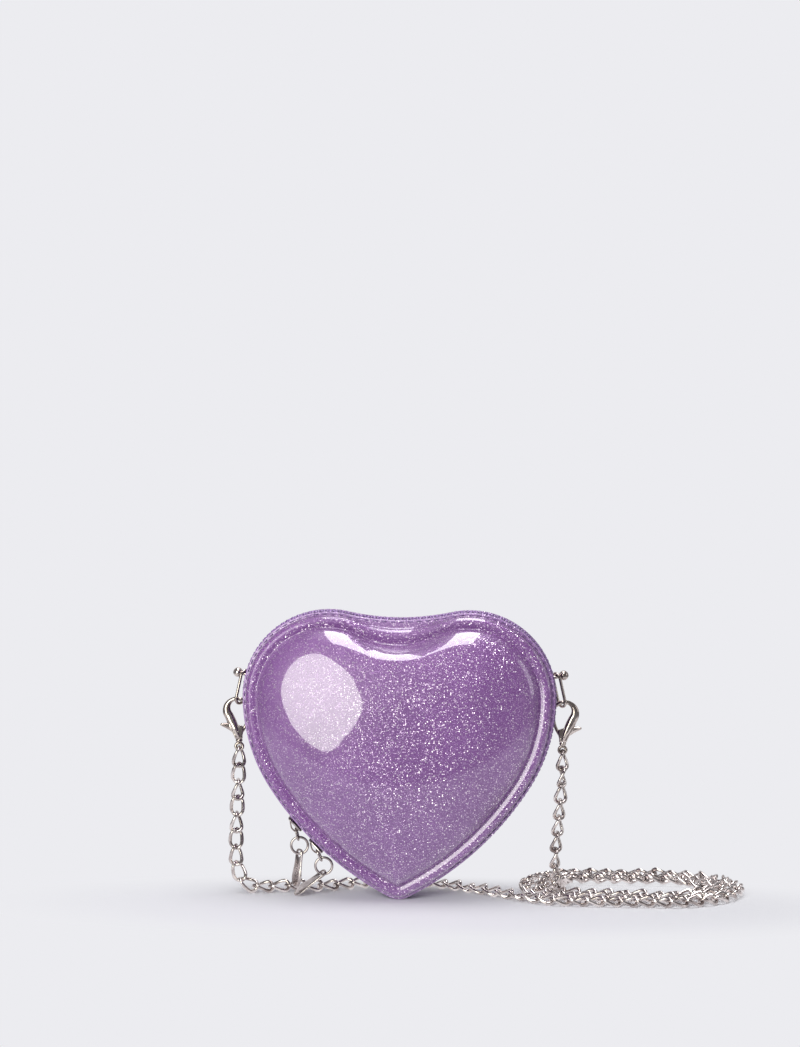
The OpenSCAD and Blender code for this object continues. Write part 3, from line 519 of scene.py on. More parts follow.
def shell(name, side):
    """One moulded half, wall and all: side is 1 for the front and -1 for the back. Its attributes say
    where the flange's rim and the bead are."""
    outer = [at_depth(heart(d, NOTCH_R), y) for d, y in FLANGE_ROWS]
    outer += [at_depth(heart(d, nr), y) for d, nr, y in FLANGE_TOP_ROWS]
    to_bead = len(outer)
    outer += [at_depth(bead_ring(s), BEAD_Y + h * BEAD_H) for s, h in BEAD]
    outer += dome_rings(1.0, GROOVE_Y, DOME_ROWS)
    outer = soften(outer, to_bead)
    inner = [at_depth(heart(-FLANGE_W - WALL, BEAD_NOTCH_R), y) for y in INNER_FLANGE_Y]
    inner += [at_depth(bead_ring(s), BEAD_Y + h * BEAD_H - WALL) for s, h in INNER_BEAD]
    inner += dome_rings(1 - WALL / (LOBE_X + LOBE_R), GROOVE_Y - WALL, INNER_DOME_ROWS)
    rings = np.stack(inner[::-1] + outer)
    points, *faces = skin(rings, [0, -(GROOVE_Y - WALL + DOME_H), DOME_C[1]],
                          [0, -(GROOVE_Y + DOME_H), DOME_C[1]])
    points[:, 1] *= side
    m, n, _ = rings.shape
    rim, bead = np.zeros(m), np.zeros(m)
    start = len(inner) + to_bead
    rim[len(inner):start] = [1] * len(FLANGE_ROWS) + list(RIM_LAST)
    bead[start:start + len(BEAD)] = np.clip(np.linspace(4, 0, len(BEAD)), 0, 1)
    return piece(name, points, *faces, slot="shell_pvc", sharp=0,
                 rim=np.append(np.repeat(rim, n), [0, 0]), bead=np.append(np.repeat(bead, n), [0, 0]))


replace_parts(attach(shell("front_shell_skin", 1), "purse_front"), "front_shell")
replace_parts(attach(shell("back_shell_skin", -1), "purse_back"), "back_shell")

# Zip tapes: (inset, hollow radius, y) round the section, from the teeth to the hem under the flange
TAPE = [(-1, NOTCH_R, -0.9), (-1, NOTCH_R, -2.6), (-1, NOTCH_R, -4.75), (-5.95, BEAD_NOTCH_R, -4.75),
        (-5.95, BEAD_NOTCH_R, -3.95), (-1.8, NOTCH_R, -3.95), (-1.8, NOTCH_R, -2.6), (-1.8, NOTCH_R, -0.9)]
TAPE_COUNTS = (16, 60, 24, 30, 0)


def cloth(name, lines):
    """A cloth piece from the lines that the points of its closed section follow."""
    grid = np.stack(lines, 1)
    return piece(name, *skin(grid, grid[0].mean(0), grid[-1].mean(0)), slot="zip_cloth", sharp=50)


def tape(name, side):
    """A tape's closed section carried along the zip line from one end of the zip to the other."""
    lines = []
    for d, nr, y in TAPE:
        h = half_heart(d, nr, ZIP_END_DEG, TAPE_COUNTS)
        lines.append(at_depth(np.vstack([h[:0:-1] * [-1, 1], h]), -side * y))
    return cloth(name, lines)


for where, side in (("front", 1), ("back", -1)):
    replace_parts(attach(tape("tape_" + where, side), "purse_" + where), "zip_tape_" + where)


# Teeth and stitches: small blocks all along the zip line
def arc_places(cx, cz, r, a, b, pitch, phase, hollow=False):
    """Places a pitch apart along one arc: rotation (out, across, along) and centre of each."""
    n = int(round(r * abs(math.radians(b - a)) / pitch))
    t = np.radians(a + (b - a) * (np.arange(n) + phase) / n)
    out = np.column_stack([np.cos(t), 0 * t, np.sin(t)])
    centre = np.array([cx, 0, cz]) + r * out
    if hollow:
        out = -out
    y = np.broadcast_to([0.0, 1.0, 0.0], out.shape)
    return np.stack([out, y, np.cross(out, y)], -1), centre


def edge_places(d, pitch, phase, end_deg):
    """Rotations and centres a pitch apart along both halves of the zip line, moved out by d."""
    z, q = notch(NOTCH_R)
    turn, centre = [], []
    for mirror, ph in ((1, phase), (-1, 0.5 - phase)):
        for *line, hollow in ((0, z, NOTCH_R - d, -90, -90 + q, True),
                              (LOBE_X, LOBE_Z, LOBE_R + d, 90 + q, 0, False),
                              (SIDE_X, LOBE_Z, SIDE_R + d, 0, -SIDE_DEG, False),
                              (LOWER_X, LOWER_Z, LOWER_R + d, -SIDE_DEG, -end_deg, False)):
            r, c = arc_places(*line, pitch, 0.25 + ph, hollow)
            m = np.diag([mirror, 1.0, 1.0])
            turn.append(m @ r)
            centre.append(c @ m)
    return np.vstack(turn), np.vstack(centre)


# A tooth reaches past the middle plane, except where the sliders' webs part the rows
TOOTH_HALF_W, TOOTH_HALF_T, TOOTH_OUT, TAPE_EDGE = 1.5, 0.74, -1.0, 2.6
MESHED, PARTED, PARTED_BELOW = 0.3, -0.33, 46


def tooth(reach_in):
    """A moulded tooth with round edges, from reach_in past the middle plane to the tape's edge."""
    points, *faces = superblock([TOOTH_HALF_W, (TAPE_EDGE + reach_in) / 2, TOOTH_HALF_T], 5)
    return points + [TOOTH_OUT, (TAPE_EDGE - reach_in) / 2, 0], *faces


for where, side, phase in (("front", -1, 0), ("back", 1, 0.5)):
    turn, centre = edge_places(0, TOOTH_PITCH, phase, LAST_TOOTH_DEG)
    turn = turn @ np.diag([1, side, 1])
    parted = (centre[:, 0] < 0) & (centre[:, 2] < PARTED_BELOW)
    teeth = joined([copies(tooth(PARTED), turn[parted], centre[parted]),
                    copies(tooth(MESHED), turn[~parted], centre[~parted])])
    row = piece("teeth_" + where, *teeth, slot="zip_teeth", sharp=35)
    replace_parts(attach(row, "purse_" + where), "zip_teeth_" + where)

# Stitches that hold the tapes to the flanges
STITCH_IN, STITCH_PITCH, STITCH_PHASE, STITCH_Y = -0.95, 4.1, 0.1, BEAD_Y + 0.06
stitch = superblock([0.2, 0.34, 1.35], 2.6)
for where, side in (("front", -1), ("back", 1)):
    turn, centre = edge_places(STITCH_IN, STITCH_PITCH, STITCH_PHASE, ZIP_END_DEG)
    swap = np.stack([side * turn[:, :, 1], turn[:, :, 0], turn[:, :, 2]], -1)
    row = copies(stitch, swap, centre + [0, side * STITCH_Y, 0])
    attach(piece("stitches_" + where, *row, slot="zip_cloth", sharp=0), "purse_" + where)

# Cloth strip round the tip, on which the front shell folds down
STRIP_HALF_W, STRIP_T, STRIP_FROM_DEG = 4.75, 0.75, 54.0
FOLD_DIP, FOLD_W = 0.45, 1.6
STRIP_MIDDLE = np.array([0, 0, 40.0])


def hinge_cloth():
    """The strip round the tip: across it the cloth dips by a soft fold, along it it follows the tip."""
    outer = []
    for y in np.linspace(-STRIP_HALF_W, STRIP_HALF_W, 21):
        d = -1.0 - FOLD_DIP * math.exp(-(y / FOLD_W) ** 2)
        right = np.vstack([arc(LOWER_X, LOWER_Z, LOWER_R + d, -STRIP_FROM_DEG, -TIP_DEG, 14),
                           arc(0, TIP_R, TIP_R + d, -TIP_DEG, -90, 12, True)])
        outer.append(at_depth(np.vstack([right, right[-2::-1] * [-1, 1]]), -y))
    outer = np.stack(outer)
    inward = (STRIP_MIDDLE - outer) * [1, 0, 1]
    inward /= np.linalg.norm(inward, axis=2)[..., None]
    inner = outer + STRIP_T * inward
    return cloth("hinge_cloth", [*outer, *inner[::-1]])


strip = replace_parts(hinge_cloth(), "hinge_strip")
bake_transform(strip)


# Metal pieces
def placed(part, m, shift, flip=False):
    """A part's points turned by m, moved by shift and, for the left side, mirrored in X."""
    points = part[0] @ np.array(m, float).T + shift
    return points * [-1 if flip else 1, 1, 1], *part[1:]


def moved(part, *shift):
    """A part moved by x, y and z."""
    return placed(part, np.eye(3), shift)


def turn_y(deg):
    """Rotation about Y in degrees, as OpenSCAD turns it."""
    c, s = cos_sin(deg)
    return np.array([[c, 0, s], [0, 1, 0], [-s, 0, c]])


def turn_z(deg):
    """Rotation about Z in degrees."""
    c, s = cos_sin(deg)
    return np.array([[c, -s, 0], [s, c, 0], [0, 0, 1]])


def metal(name, body, node, parts, slot, sharp=40):
    """Parts joined into one piece that rides a body and stands for a CAD node."""
    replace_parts(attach(piece(name, *joined(parts), slot=slot, sharp=sharp), body), node)


def on_side(deg, out):
    """Rotation and place on the lower right side: X outwards, Y across the zip, Z up along it."""
    m = turn_y(deg)
    return m, np.array([LOWER_X, 0, LOWER_Z]) + m @ [LOWER_R + out, 0, 0]


def below(p, tilt, length):
    """The point that far below p, with the line to it tilted towards +X by an angle in degrees."""
    c, s = cos_sin(tilt)
    return p + length * np.array([s, 0, -c])


# Sliders: the line of the loop on the outer plate, the thin web and the lips round the tapes
LOOP_LINE = at_depth(smooth_line([[1.9, -3.1], [3.2, -3.15], [4.1, -2.6], [4.35, -1.4], [4.3, -0.2],
                                  [3.75, 1.0], [3.0, 2.1], [2.3, 3.0], [1.8, 3.25]], 5), 0)
LOW_PLATE_W, LIP_Y, WEB_UP = 7.4, 3.52, 1.1
WEB, LIP = superblock([2.6, 0.24, 1.2], 6), superblock([1.2, 0.24, 2.2], 5)


def shield(w, l, up):
    """Outline of a slider plate: broad shoulders, a narrower round nose."""
    half = smooth_line([[0, -l / 2 - 0.3], [w * 0.34, -l / 2 - 0.1], [w / 2, -l * 0.4], [w / 2, -l * 0.22],
                        [w * 0.42, l * 0.05], [w * 0.31, l * 0.34], [w * 0.17, l * 0.48], [0, l / 2]], 5)
    return mirrored(half) * [1, -1 if up else 1]


def slider(which, deg, up):
    """Two plates joined by a thin web between the rows, back lips and an arched loop for the pull."""
    m, at = on_side(deg, 0)
    top = rounded_plate(shield(SLIDER_W, SLIDER_L, up), SLIDER_T, 0.4, 0.12)
    low = rounded_plate(shield(LOW_PLATE_W, SLIDER_L, up), SLIDER_T, 0.35)
    parts = [moved(top, PLATE_OUT, 0, 0), moved(low, PLATE_IN - SLIDER_T, 0, 0),
             tube(LOOP_LINE, [0, 1, 0], 0.4, 1.02, 12), moved(WEB, -1.0, 0, -WEB_UP if up else WEB_UP),
             moved(LIP, 0.5, LIP_Y, 0), moved(LIP, -2.95, LIP_Y, 0)]
    metal("slider_" + which, which + "_slider", which + "_slider", [placed(p, m, at, True) for p in parts],
          "dark_nickel")


slider("upper", UPPER_SLIDER_DEG, True)
slider("lower", LOWER_SLIDER_DEG, False)

# Pulls: the link's bend sags over the loop's width, and the link hangs from the loop's low end
link_bend = (PULL_LINK_W - PULL_WIRE) / 2
link_sag = link_bend - math.sqrt(link_bend ** 2 - (LOOP_W / 2) ** 2)
HANG_OUT = PLATE_OUT + SLIDER_T + PULL_WIRE / 2 + 4 * SEAT_GAP
HANG_DEG = math.degrees((LOOP_L / 2 - LOOP_T - PULL_WIRE / 2 - RUN_GAP - link_sag) / LOWER_R)
RING_DROP = RING_R - RING_WIRE / 2 - PULL_WIRE / 2 - RUN_GAP
RING_SIDES, SEAM_DEPTH, SEAM_AT, SEAM_W = 60, 0.16, 0.35, 0.05
# Leaf shaped tab: right half of its outline, and the rows over its bowed face: height and share outwards
TAB_SIDE = smooth_line([[0, 2.5], [1.1, 2.4], [2.0, 1.7], [2.5, 0.2], [2.75, -4.0], [3.15, -8.5],
                        [3.75, -12.4], [3.0, -15.2], [1.4, -16.8], [0, -17.0]], 7)
TAB_FACE = [(0.2, 0.0), (0.03, 0.05), (-0.06, 0.2), (-0.16, 0.4), (-0.16, 0.6), (-0.06, 0.78), (0.08, 0.9),
            (0.2, 0.965), (0.34, 0.99), (0.5, 1.0)]


def wire_loop(ends, width, d, n=64, dent=0.0):
    """A closed round wire on a stadium line in the YZ plane, long axis on Z, with a hair seam dent."""
    line = stadium(ends, width - d, n)[:, [2, 1, 0]]
    half = d / 2 * (1 - dent * np.exp(-((np.arange(n) - n * 0.3) / 1.2) ** 2))
    return tube(line, [1, 0, 0], half, half, 14, closed=True)


def leaf():
    """Leaf shaped tab in the YZ plane with a round hole at the origin: rings run from the hole's
    edge out to the leaf's outline, over the rim and back on the other face."""
    outline = mirrored(TAB_SIDE)
    n = len(outline)
    angle = np.arctan2(outline[:, 0], outline[:, 1])
    hole = TAB_HOLE_R * np.column_stack([np.sin(angle), np.cos(angle)])
    rows = TAB_FACE + [(TAB_T - x, s) for x, s in reversed(TAB_FACE[:-1])]
    ring = np.stack([np.column_stack([np.full(n, x - TAB_T / 2), hole + s * (outline - hole)])
                     for x, s in rows])
    return ring.reshape(-1, 3), grid_quads(len(rows), n, wrap_rows=True), NO_TRIS


def pull_ring():
    """Round ring in the XZ plane with the seam of its wire."""
    q = np.arange(RING_SIDES) * 2 * math.pi / RING_SIDES
    half = RING_WIRE / 2 * (1 - SEAM_DEPTH * np.exp(-((q - SEAM_AT) / SEAM_W) ** 2))
    return tube(at_depth(arc(0, 0, RING_R, 0, 360, RING_SIDES), 0), [0, 1, 0], half, half, closed=True)


def pull(which, slider_deg, link_tilt, ring_tilt, tab_turn, tab_tilt, tab_twist):
    """Link, ring and leaf shaped tab of one zip pull, each on its own body."""
    hang = on_side(slider_deg + HANG_DEG, HANG_OUT)[1] * [-1, 1, 1]
    ring_at = below(below(hang, link_tilt, PULL_LINK_L), ring_tilt, RING_DROP)
    link = moved(wire_loop(PULL_LINK_L, PULL_LINK_W, PULL_WIRE), 0, 0, -PULL_LINK_L / 2)
    tab_pose = turn_y(-tab_tilt) @ turn_z(tab_twist)
    for kind, part, sharp in (("link", placed(link, turn_y(-link_tilt), hang), 0),
                              ("ring", moved(pull_ring(), *ring_at), 0),
                              ("tab", placed(leaf(), tab_pose, below(ring_at, tab_turn, RING_R)), 32)):
        metal("pull_" + kind + "_" + which, which + "_" + kind, which + "_pull_" + kind, [part],
              "dark_nickel", sharp)


pull("upper", UPPER_SLIDER_DEG, 13, 10, -1, -7, 40)
pull("lower", LOWER_SLIDER_DEG, 25, 20, -13, -52.9, 22)


# Studs, ovals and clasps, each made for the right side
def ball_stud():
    """Shank, collar, neck and ball turned about X, from (x, radius) pairs."""
    t = np.linspace(0.42, math.pi, 22)
    ball = np.column_stack([BALL_C - BALL_D / 2 * np.cos(t), BALL_D / 2 * np.sin(t)])
    ball[-1, 1] = 0
    neck = [(-SHANK_L, 0), (-SHANK_L, 0.9), (0, 0.92), (0, 1.45), (0.15, 1.5), (1.05, 1.16), (COLLAR_T, 1.02),
            (COLLAR_T + 0.2, NECK_D / 2)]
    return revolved(np.vstack([np.array(neck) + [STUD_SEAT, 0], ball]), 40)


# Clasp body: half widths of the claw's bar in its plane and across it, by share of its length
CLAW_TIP_DEG, CLAW_FOOT_DEG = 150, -38
CLAW_FOOT = [[3.5, -9.2], [2.3, -11.6], [1.3, -13.6], [0.6, -15.6], [0.1, -17.6]]
CLAW_WIDE = ([0, 0.04, 0.18, 0.3, 0.42, 0.56, 0.68, 0.82, 1],
             [0.45, 0.95, 0.95, 1.1, 1.65, 2.2, 2.3, 1.8, 1.1])
CLAW_DEEP = ([0, 0.04, 0.3, 0.45, 0.6, 0.8, 0.92, 1], [0.45, 0.95, 1.0, 1.25, 1.4, 2.0, 1.7, 1.15])
BASE = [[5.3, -10.3], [4.9, -11.9], [3.7, -13.8], [2.5, -15.9], [1.7, -17.5], [-1.4, -17.5], [-1.7, -15.8],
        [-2.2, -13.4], [-2.1, -11.5], [0.6, -10.5], [2.9, -9.4], [4.6, -9.2]]
BASE_T, BASE_EDGE, BASE_BOW = 2.6, 0.6, 0.1
COLLAR = [(0, 0), (0, 1.1), (0.25, 1.45), (0.9, 1.75), (1.6, 1.6), (2.1, 1.1), (2.15, 0)]
COLLAR_AT = [0.05, 0, -17.2]
FACE_FRONT, FACE_DOWN = [[0, 1, 0], [1, 0, 0], [0, 0, 1]], [[0, 0, 1], [0, 1, 0], [-1, 0, 0]]
# Trigger: arc of the gate, its root at the pin, the lever's line, and half widths of both
GATE_ARC, GATE_ROOT = (7.7, -5.8, 12, 162.5, 217, 25, True), [[-1.2, -13.6], [0.2, -13.9]]
LEVER_LINE = smooth_line([[0.4, -13.4], [3.0, -12.4], [5.6, -11.2], [7.6, -10.75], [9.2, -10.45]], 5)
GATE_WIDE, GATE_DEEP = ([0, 0.1, 0.7, 1], [0.55, 0.72, 0.8, 1.3]), ([0, 0.6, 1], [0.75, 0.8, 1.1])
LEVER_WIDE = ([0, 0.5, 0.85, 0.96, 1], [2.2, 1.5, 0.8, 0.62, 0.3])
LEVER_DEEP = ([0, 0.5, 0.9, 0.97, 1], [0.85, 0.9, 0.9, 0.7, 0.35])


def bar(line, wide, deep, sides, foot=(), fine=0):
    """A bar along (x, z) points, with half widths that change along it. Its foot is a smooth line that
    goes on from its last point."""
    if fine:
        line = np.vstack([line, smooth_line([line[-1], *foot], fine)[1:]])
    share = np.linspace(0, 1, len(line))
    return tube(at_depth(line, 0), [0, 1, 0], np.interp(share, *wide), np.interp(share, *deep), sides)


def clasp_body():
    """One bar from the claw's tip over the top and down the outer side, the base, collar and eye."""
    claw = arc(CLAW_X, CLAW_Z, CLAW_R, CLAW_TIP_DEG, CLAW_FOOT_DEG, 39, True)
    base = rounded_plate(smooth_line(BASE, 6, closed=True), BASE_T, BASE_EDGE, BASE_BOW)
    eye = at_depth(arc(0, EYE_Z, EYE_R, 0, 360, 40), 0)
    return [bar(claw, CLAW_WIDE, CLAW_DEEP, 20, CLAW_FOOT, 5), placed(base, FACE_FRONT, [0, -BASE_T / 2, 0]),
            placed(revolved(COLLAR, 32), FACE_DOWN, COLLAR_AT),
            tube(eye, [0, 1, 0], EYE_DRAWN / 2, EYE_DRAWN / 2, 12, closed=True)]


def clasp_trigger():
    """A thin bowed gate with a flat root between the cheeks, and a thumb lever."""
    return [bar(arc(*GATE_ARC), GATE_WIDE, GATE_DEEP, 14, GATE_ROOT, 4),
            bar(LEVER_LINE, LEVER_WIDE, LEVER_DEEP, 14)]


oval = placed(wire_loop(OVAL_ENDS, OVAL_W, OVAL_WIRE, 72, 0.12), turn_z(OVAL_TURN),
              [NECK_MID, 0, OVAL_TOP - OVAL_ENDS / 2])
for side, flip in (("left", True), ("right", False)):
    on_stud = (turn_y(-STUD_DEG), [LOBE_X, STUD_Y, LOBE_Z], flip)
    on_hook = (np.eye(3), HOOK, flip)
    for name, body, node, parts, place, sharp in (
            ("ball_stud_", "purse_back", "stud_", [ball_stud()], on_stud, 50),
            ("oval_wire_", "oval_" + side, "oval_link_", [oval], on_stud, 0),
            ("clasp_claw_", "clasp_" + side, "clasp_body_", clasp_body(), on_hook, 50),
            ("clasp_gate_", "trigger_" + side, "clasp_trigger_", clasp_trigger(), on_hook, 50)):
        metal(name + side, body, node + side, [placed(p, *place) for p in parts], "bright_nickel", sharp)

# End stops of the zip, a pair that closes the row on each side of the tip
STOP_BACK, STOP_AT = 2.6, [-0.1, 1.22, 0]
turn, at = on_side(ZIP_END_DEG - math.degrees(STOP_BACK / LOWER_R), 0)
stop = superblock([0.85, 1.38, 1.3], 6)
stops = [placed(stop, turn, at + turn @ STOP_AT, flip) for flip in (True, False)]
metal("zip_end_stops", "purse_back", "zip_stops", stops, "dark_nickel", 40)


# Materials
def linear(hex_colour):
    """An sRGB colour in hex as linear RGBA."""
    c = [int(hex_colour[i:i + 2], 16) / 255 for i in (0, 2, 4)]
    return (*[v / 12.92 if v <= 0.04045 else ((v + 0.055) / 1.055) ** 2.4 for v in c], 1)


class Finish:
    """A node material. Its methods add nodes; place is the Object coordinates that patterns read. A
    colour may be a socket or an sRGB colour in hex."""

    def __init__(self, name):
        self.material = bpy.data.materials.new(name)
        self.material.use_nodes = True
        self.tree = self.material.node_tree
        self.tree.nodes.clear()
        self.out = self.node("OutputMaterial")
        self.place = self.node("TexCoord").outputs["Object"]

    def node(self, kind, sockets=None, **settings):
        """A shader node with its settings, and its sockets set to values or linked from other sockets."""
        n = self.tree.nodes.new("ShaderNode" + kind)
        for key, value in settings.items():
            setattr(n, key, value)
        for key, value in (sockets or {}).items():
            self.feed(n.inputs[key], value)
        return n

    def feed(self, socket, value):
        """Links a socket from another one, or sets it to a value."""
        if isinstance(value, bpy.types.NodeSocket):
            self.tree.links.new(value, socket)
        else:
            socket.default_value = linear(value) if isinstance(value, str) else value

    def math(self, operation, a, b):
        """Two values as one."""
        return self.node("Math", {0: a, 1: b}, operation=operation).outputs[0]

    def vector(self, operation, a, b=(0, 0, 0), out=0):
        """Two vectors as one."""
        return self.node("VectorMath", {0: a, 1: b}, operation=operation).outputs[out]

    def axis(self, name):
        """One of the Object coordinates."""
        return self.node("SeparateXYZ", {"Vector": self.place}).outputs[name]

    def mix(self, factor, a, b):
        """A colour between a and b."""
        n = self.node("Mix", data_type="RGBA")
        for key, kind, value in (("Factor", "VALUE", factor), ("A", "RGBA", a), ("B", "RGBA", b)):
            self.feed([s for s in n.inputs if s.name == key and s.type == kind][0], value)
        return [s for s in n.outputs if s.type == "RGBA"][0]

    def ramp(self, value, low, high, out_low=0.0, out_high=1.0):
        """A smooth step from out_low to out_high while value goes from low to high."""
        limits = {"From Min": low, "From Max": high, "To Min": out_low, "To Max": out_high}
        return self.node("MapRange", {"Value": value, **limits}, interpolation_type="SMOOTHSTEP").outputs[0]

    def noise(self, scale, detail):
        """Soft noise on the Object coordinates."""
        return self.node("TexNoise", {"Vector": self.place, "Scale": scale, "Detail": detail}).outputs["Fac"]

    def bump(self, height, strength, distance):
        """A normal tipped by a height pattern."""
        sockets = {"Height": height, "Strength": strength, "Distance": distance}
        return self.node("Bump", sockets).outputs[0]

    def principled(self, **sockets):
        """The surface itself."""
        n = self.node("BsdfPrincipled", {k.replace("_", " "): v for k, v in sockets.items()})
        self.tree.links.new(n.outputs[0], self.out.inputs["Surface"])


def flakes(f, scale, share, radius):
    """One layer of glitter: round flakes at the cells of a Voronoi pattern, a share of them chosen
    by the cell's random colour. Gives the flake mask, the cell's random colour and that colour's parts."""
    v = f.node("TexVoronoi", {"Vector": f.place, "Scale": scale})
    parts = f.node("SeparateColor", {"Color": v.outputs["Color"]})
    chosen = f.math("LESS_THAN", parts.outputs["Red"], share)
    dot = f.ramp(v.outputs["Distance"], radius, radius * 0.7)
    return f.math("MULTIPLY", chosen, dot), v.outputs["Color"], parts.outputs


def flake_colours(f):
    """Purple under three layers of flakes: the colour, how much of a flake shows and its random colour."""
    big, big_colour, big_parts = flakes(f, scale=1250, share=0.26, radius=0.42)
    small, small_colour, small_parts = flakes(f, scale=1900, share=0.5, radius=0.45)
    fine = flakes(f, scale=2700, share=0.6, radius=0.5)[0]
    colour = f.mix(f.ramp(f.noise(28, 3), 0.35, 0.65), "6B3B7C", "764687")
    colour = f.mix(f.math("MULTIPLY", fine, 0.32), colour, "AB8DB2")
    silver = f.mix(big_parts["Green"], "CBB4CF", "FFF6FC")
    lilac = f.mix(small_parts["Green"], "9D78AC", "E2CEE4")
    colour = f.mix(f.math("MULTIPLY", small, f.ramp(small_parts["Blue"], 0, 1, 0.35, 0.95)), colour, lilac)
    colour = f.mix(f.math("MULTIPLY", big, f.ramp(big_parts["Blue"], 0, 1, 0.5, 1)), colour, silver)
    any_flake = f.math("MAXIMUM", big, f.math("MULTIPLY", small, 0.8))
    return colour, any_flake, f.mix(big, small_colour, big_colour)


def glitter_pvc():
    """Purple PVC under a clear coat, full of silver and pink flakes that each lie at their own tilt. The
    rim is painted paler, for light showing through the thin translucent flange, and its coat is duller;
    the bead's coat is duller on the left, where no line of light shows."""
    f = Finish("glitter_pvc")
    colour, any_flake, cell = flake_colours(f)
    rim = f.node("Attribute", attribute_name="rim").outputs["Fac"]
    bead = f.node("Attribute", attribute_name="bead").outputs["Fac"]
    on_left = f.ramp(f.axis("X"), 0.012, -0.02, 0, 0.95)
    dull = f.math("MAXIMUM", rim, f.math("MULTIPLY", bead, on_left))
    # Painted light: the flange's rim is painted a paler lilac, standing in for light showing through the thin
    # PVC
    colour = f.mix(f.math("MULTIPLY", rim, 0.32), colour, "BC9FCC")
    tilt = f.vector("SUBTRACT", cell, (0.5, 0.5, 0.5))
    tilt = f.node("VectorMath", {0: tilt, "Scale": f.math("MULTIPLY", any_flake, 0.8)},
                  operation="SCALE").outputs[0]
    normal = f.vector("ADD", f.node("NewGeometry").outputs["Normal"], tilt)
    normal = f.vector("NORMALIZE", normal)
    f.principled(Base_Color=colour, Metallic=f.math("MULTIPLY", any_flake, 0.6),
                 Roughness=f.ramp(any_flake, 0, 1, 0.42, 0.3), Normal=normal,
                 Coat_Weight=f.ramp(dull, 0, 1, 1, 0.3), Coat_Roughness=0.035, Coat_IOR=1.65,
                 Coat_Normal=f.bump(f.noise(45, 2), 0.04, 0.002))
    return f.material


def nickel(name, dark, light, rough):
    """Polished plating: a slow change of tone, fine scratches in the roughness and small dents."""
    f = Finish(name)
    tone = f.mix(f.ramp(f.noise(180, 3), 0.3, 0.7), dark, light)
    scratch = f.node("Mapping", {"Vector": f.place, "Scale": (9000, 900, 2600)}).outputs[0]
    lines = f.node("TexNoise", {"Vector": scratch, "Scale": 1.0, "Detail": 2.0}).outputs["Fac"]
    f.principled(Base_Color=tone, Metallic=1.0, Roughness=f.ramp(lines, 0.3, 0.75, rough, rough + 0.12),
                 Normal=f.bump(f.noise(900, 2), 0.12, 0.0003))
    return f.material


def woven(name, dark, light):
    """Narrow woven tape: two crossed sets of threads, with a soft sheen."""
    f = Finish(name)
    across, down = (f.node("TexWave", {"Vector": f.place, "Scale": 420, "Distortion": 0.4},
                           bands_direction=direction).outputs["Fac"] for direction in ("X", "Z"))
    weave = f.math("MULTIPLY", across, down)
    colour = f.mix(f.ramp(weave, 0, 0.8), dark, light)
    f.principled(Base_Color=colour, Roughness=0.85, Normal=f.bump(weave, 0.5, 0.0003),
                 Sheen_Weight=0.3, Sheen_Roughness=0.5)
    return f.material


def moulded(name, dark, light):
    """Moulded plastic teeth and thread: a faint grain and uneven colour."""
    f = Finish(name)
    colour = f.mix(f.ramp(f.noise(320, 3), 0.3, 0.7), dark, light)
    f.principled(Base_Color=colour, Roughness=0.42, Normal=f.bump(f.noise(2600, 2), 0.2, 0.0002),
                 Coat_Weight=0.25, Coat_Roughness=0.2)
    return f.material


DARK = nickel("dark_nickel_plate", "877C7B", "CCC2C0", 0.1)
CHAIN = nickel("polished_chain_plate", "978C8A", "DED5D2", 0.08)
THREAD = moulded("purple_thread", "5A3F6C", "7C5C92")
MADE_OF = {"shell_pvc": glitter_pvc(), "dark_nickel": DARK,
           "bright_nickel": nickel("bright_nickel_plate", "A0938E", "CBC0BB", 0.1),
           "zip_cloth": woven("purple_tape", "5B3F70", "8B68A2"),
           "zip_teeth": moulded("purple_teeth", "6E4C86", "8B66A3")}
for obj in bpy.data.objects:
    if obj.type != "MESH" or "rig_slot" not in obj:
        continue
    finish = MADE_OF[obj["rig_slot"]]
    if obj.name.startswith("stitches"):
        finish = THREAD
    if obj.name.startswith("chain"):
        finish = CHAIN
    obj.data.materials.clear()
    obj.data.materials.append(finish)
for name in ("stud_washer", "stud_nut", "clasp_pin", "clasp_spring"):
    for side in ("_left", "_right"):
        node = frame["nodes"][name + side]
        if not node.material_slots:
            node.data.materials.append(DARK)
        for k in range(len(node.material_slots)):
            node.material_slots[k].material = DARK

# Stage, in metres: a pale floor that fades into a pale backdrop
PALE, MATT_PALE = linear("ECECF0"), linear("EAEAEE")
STAGE_SIDE, STAGE_FRONT, STAGE_BACK, STAGE_TOP = 4, -4, 3, 4
# The lit floor: an oval round the purse, and nothing further back than a line behind it
LIT_CENTRE, LIT_STRETCH, LIT_FADE, LIT_BACK = (0.03, -0.02, 0), (1.0, 3.0, 1), (0.11, 0.24), (0.008, 0.055)
# The table that the purse mirrors: its front edge, its sides and how bright it is
TABLE_EDGE, TABLE_BLUR, TABLE_SIDES, TABLE_GLOW = -0.18, 0.02, (0.42, 0.2), 1.2


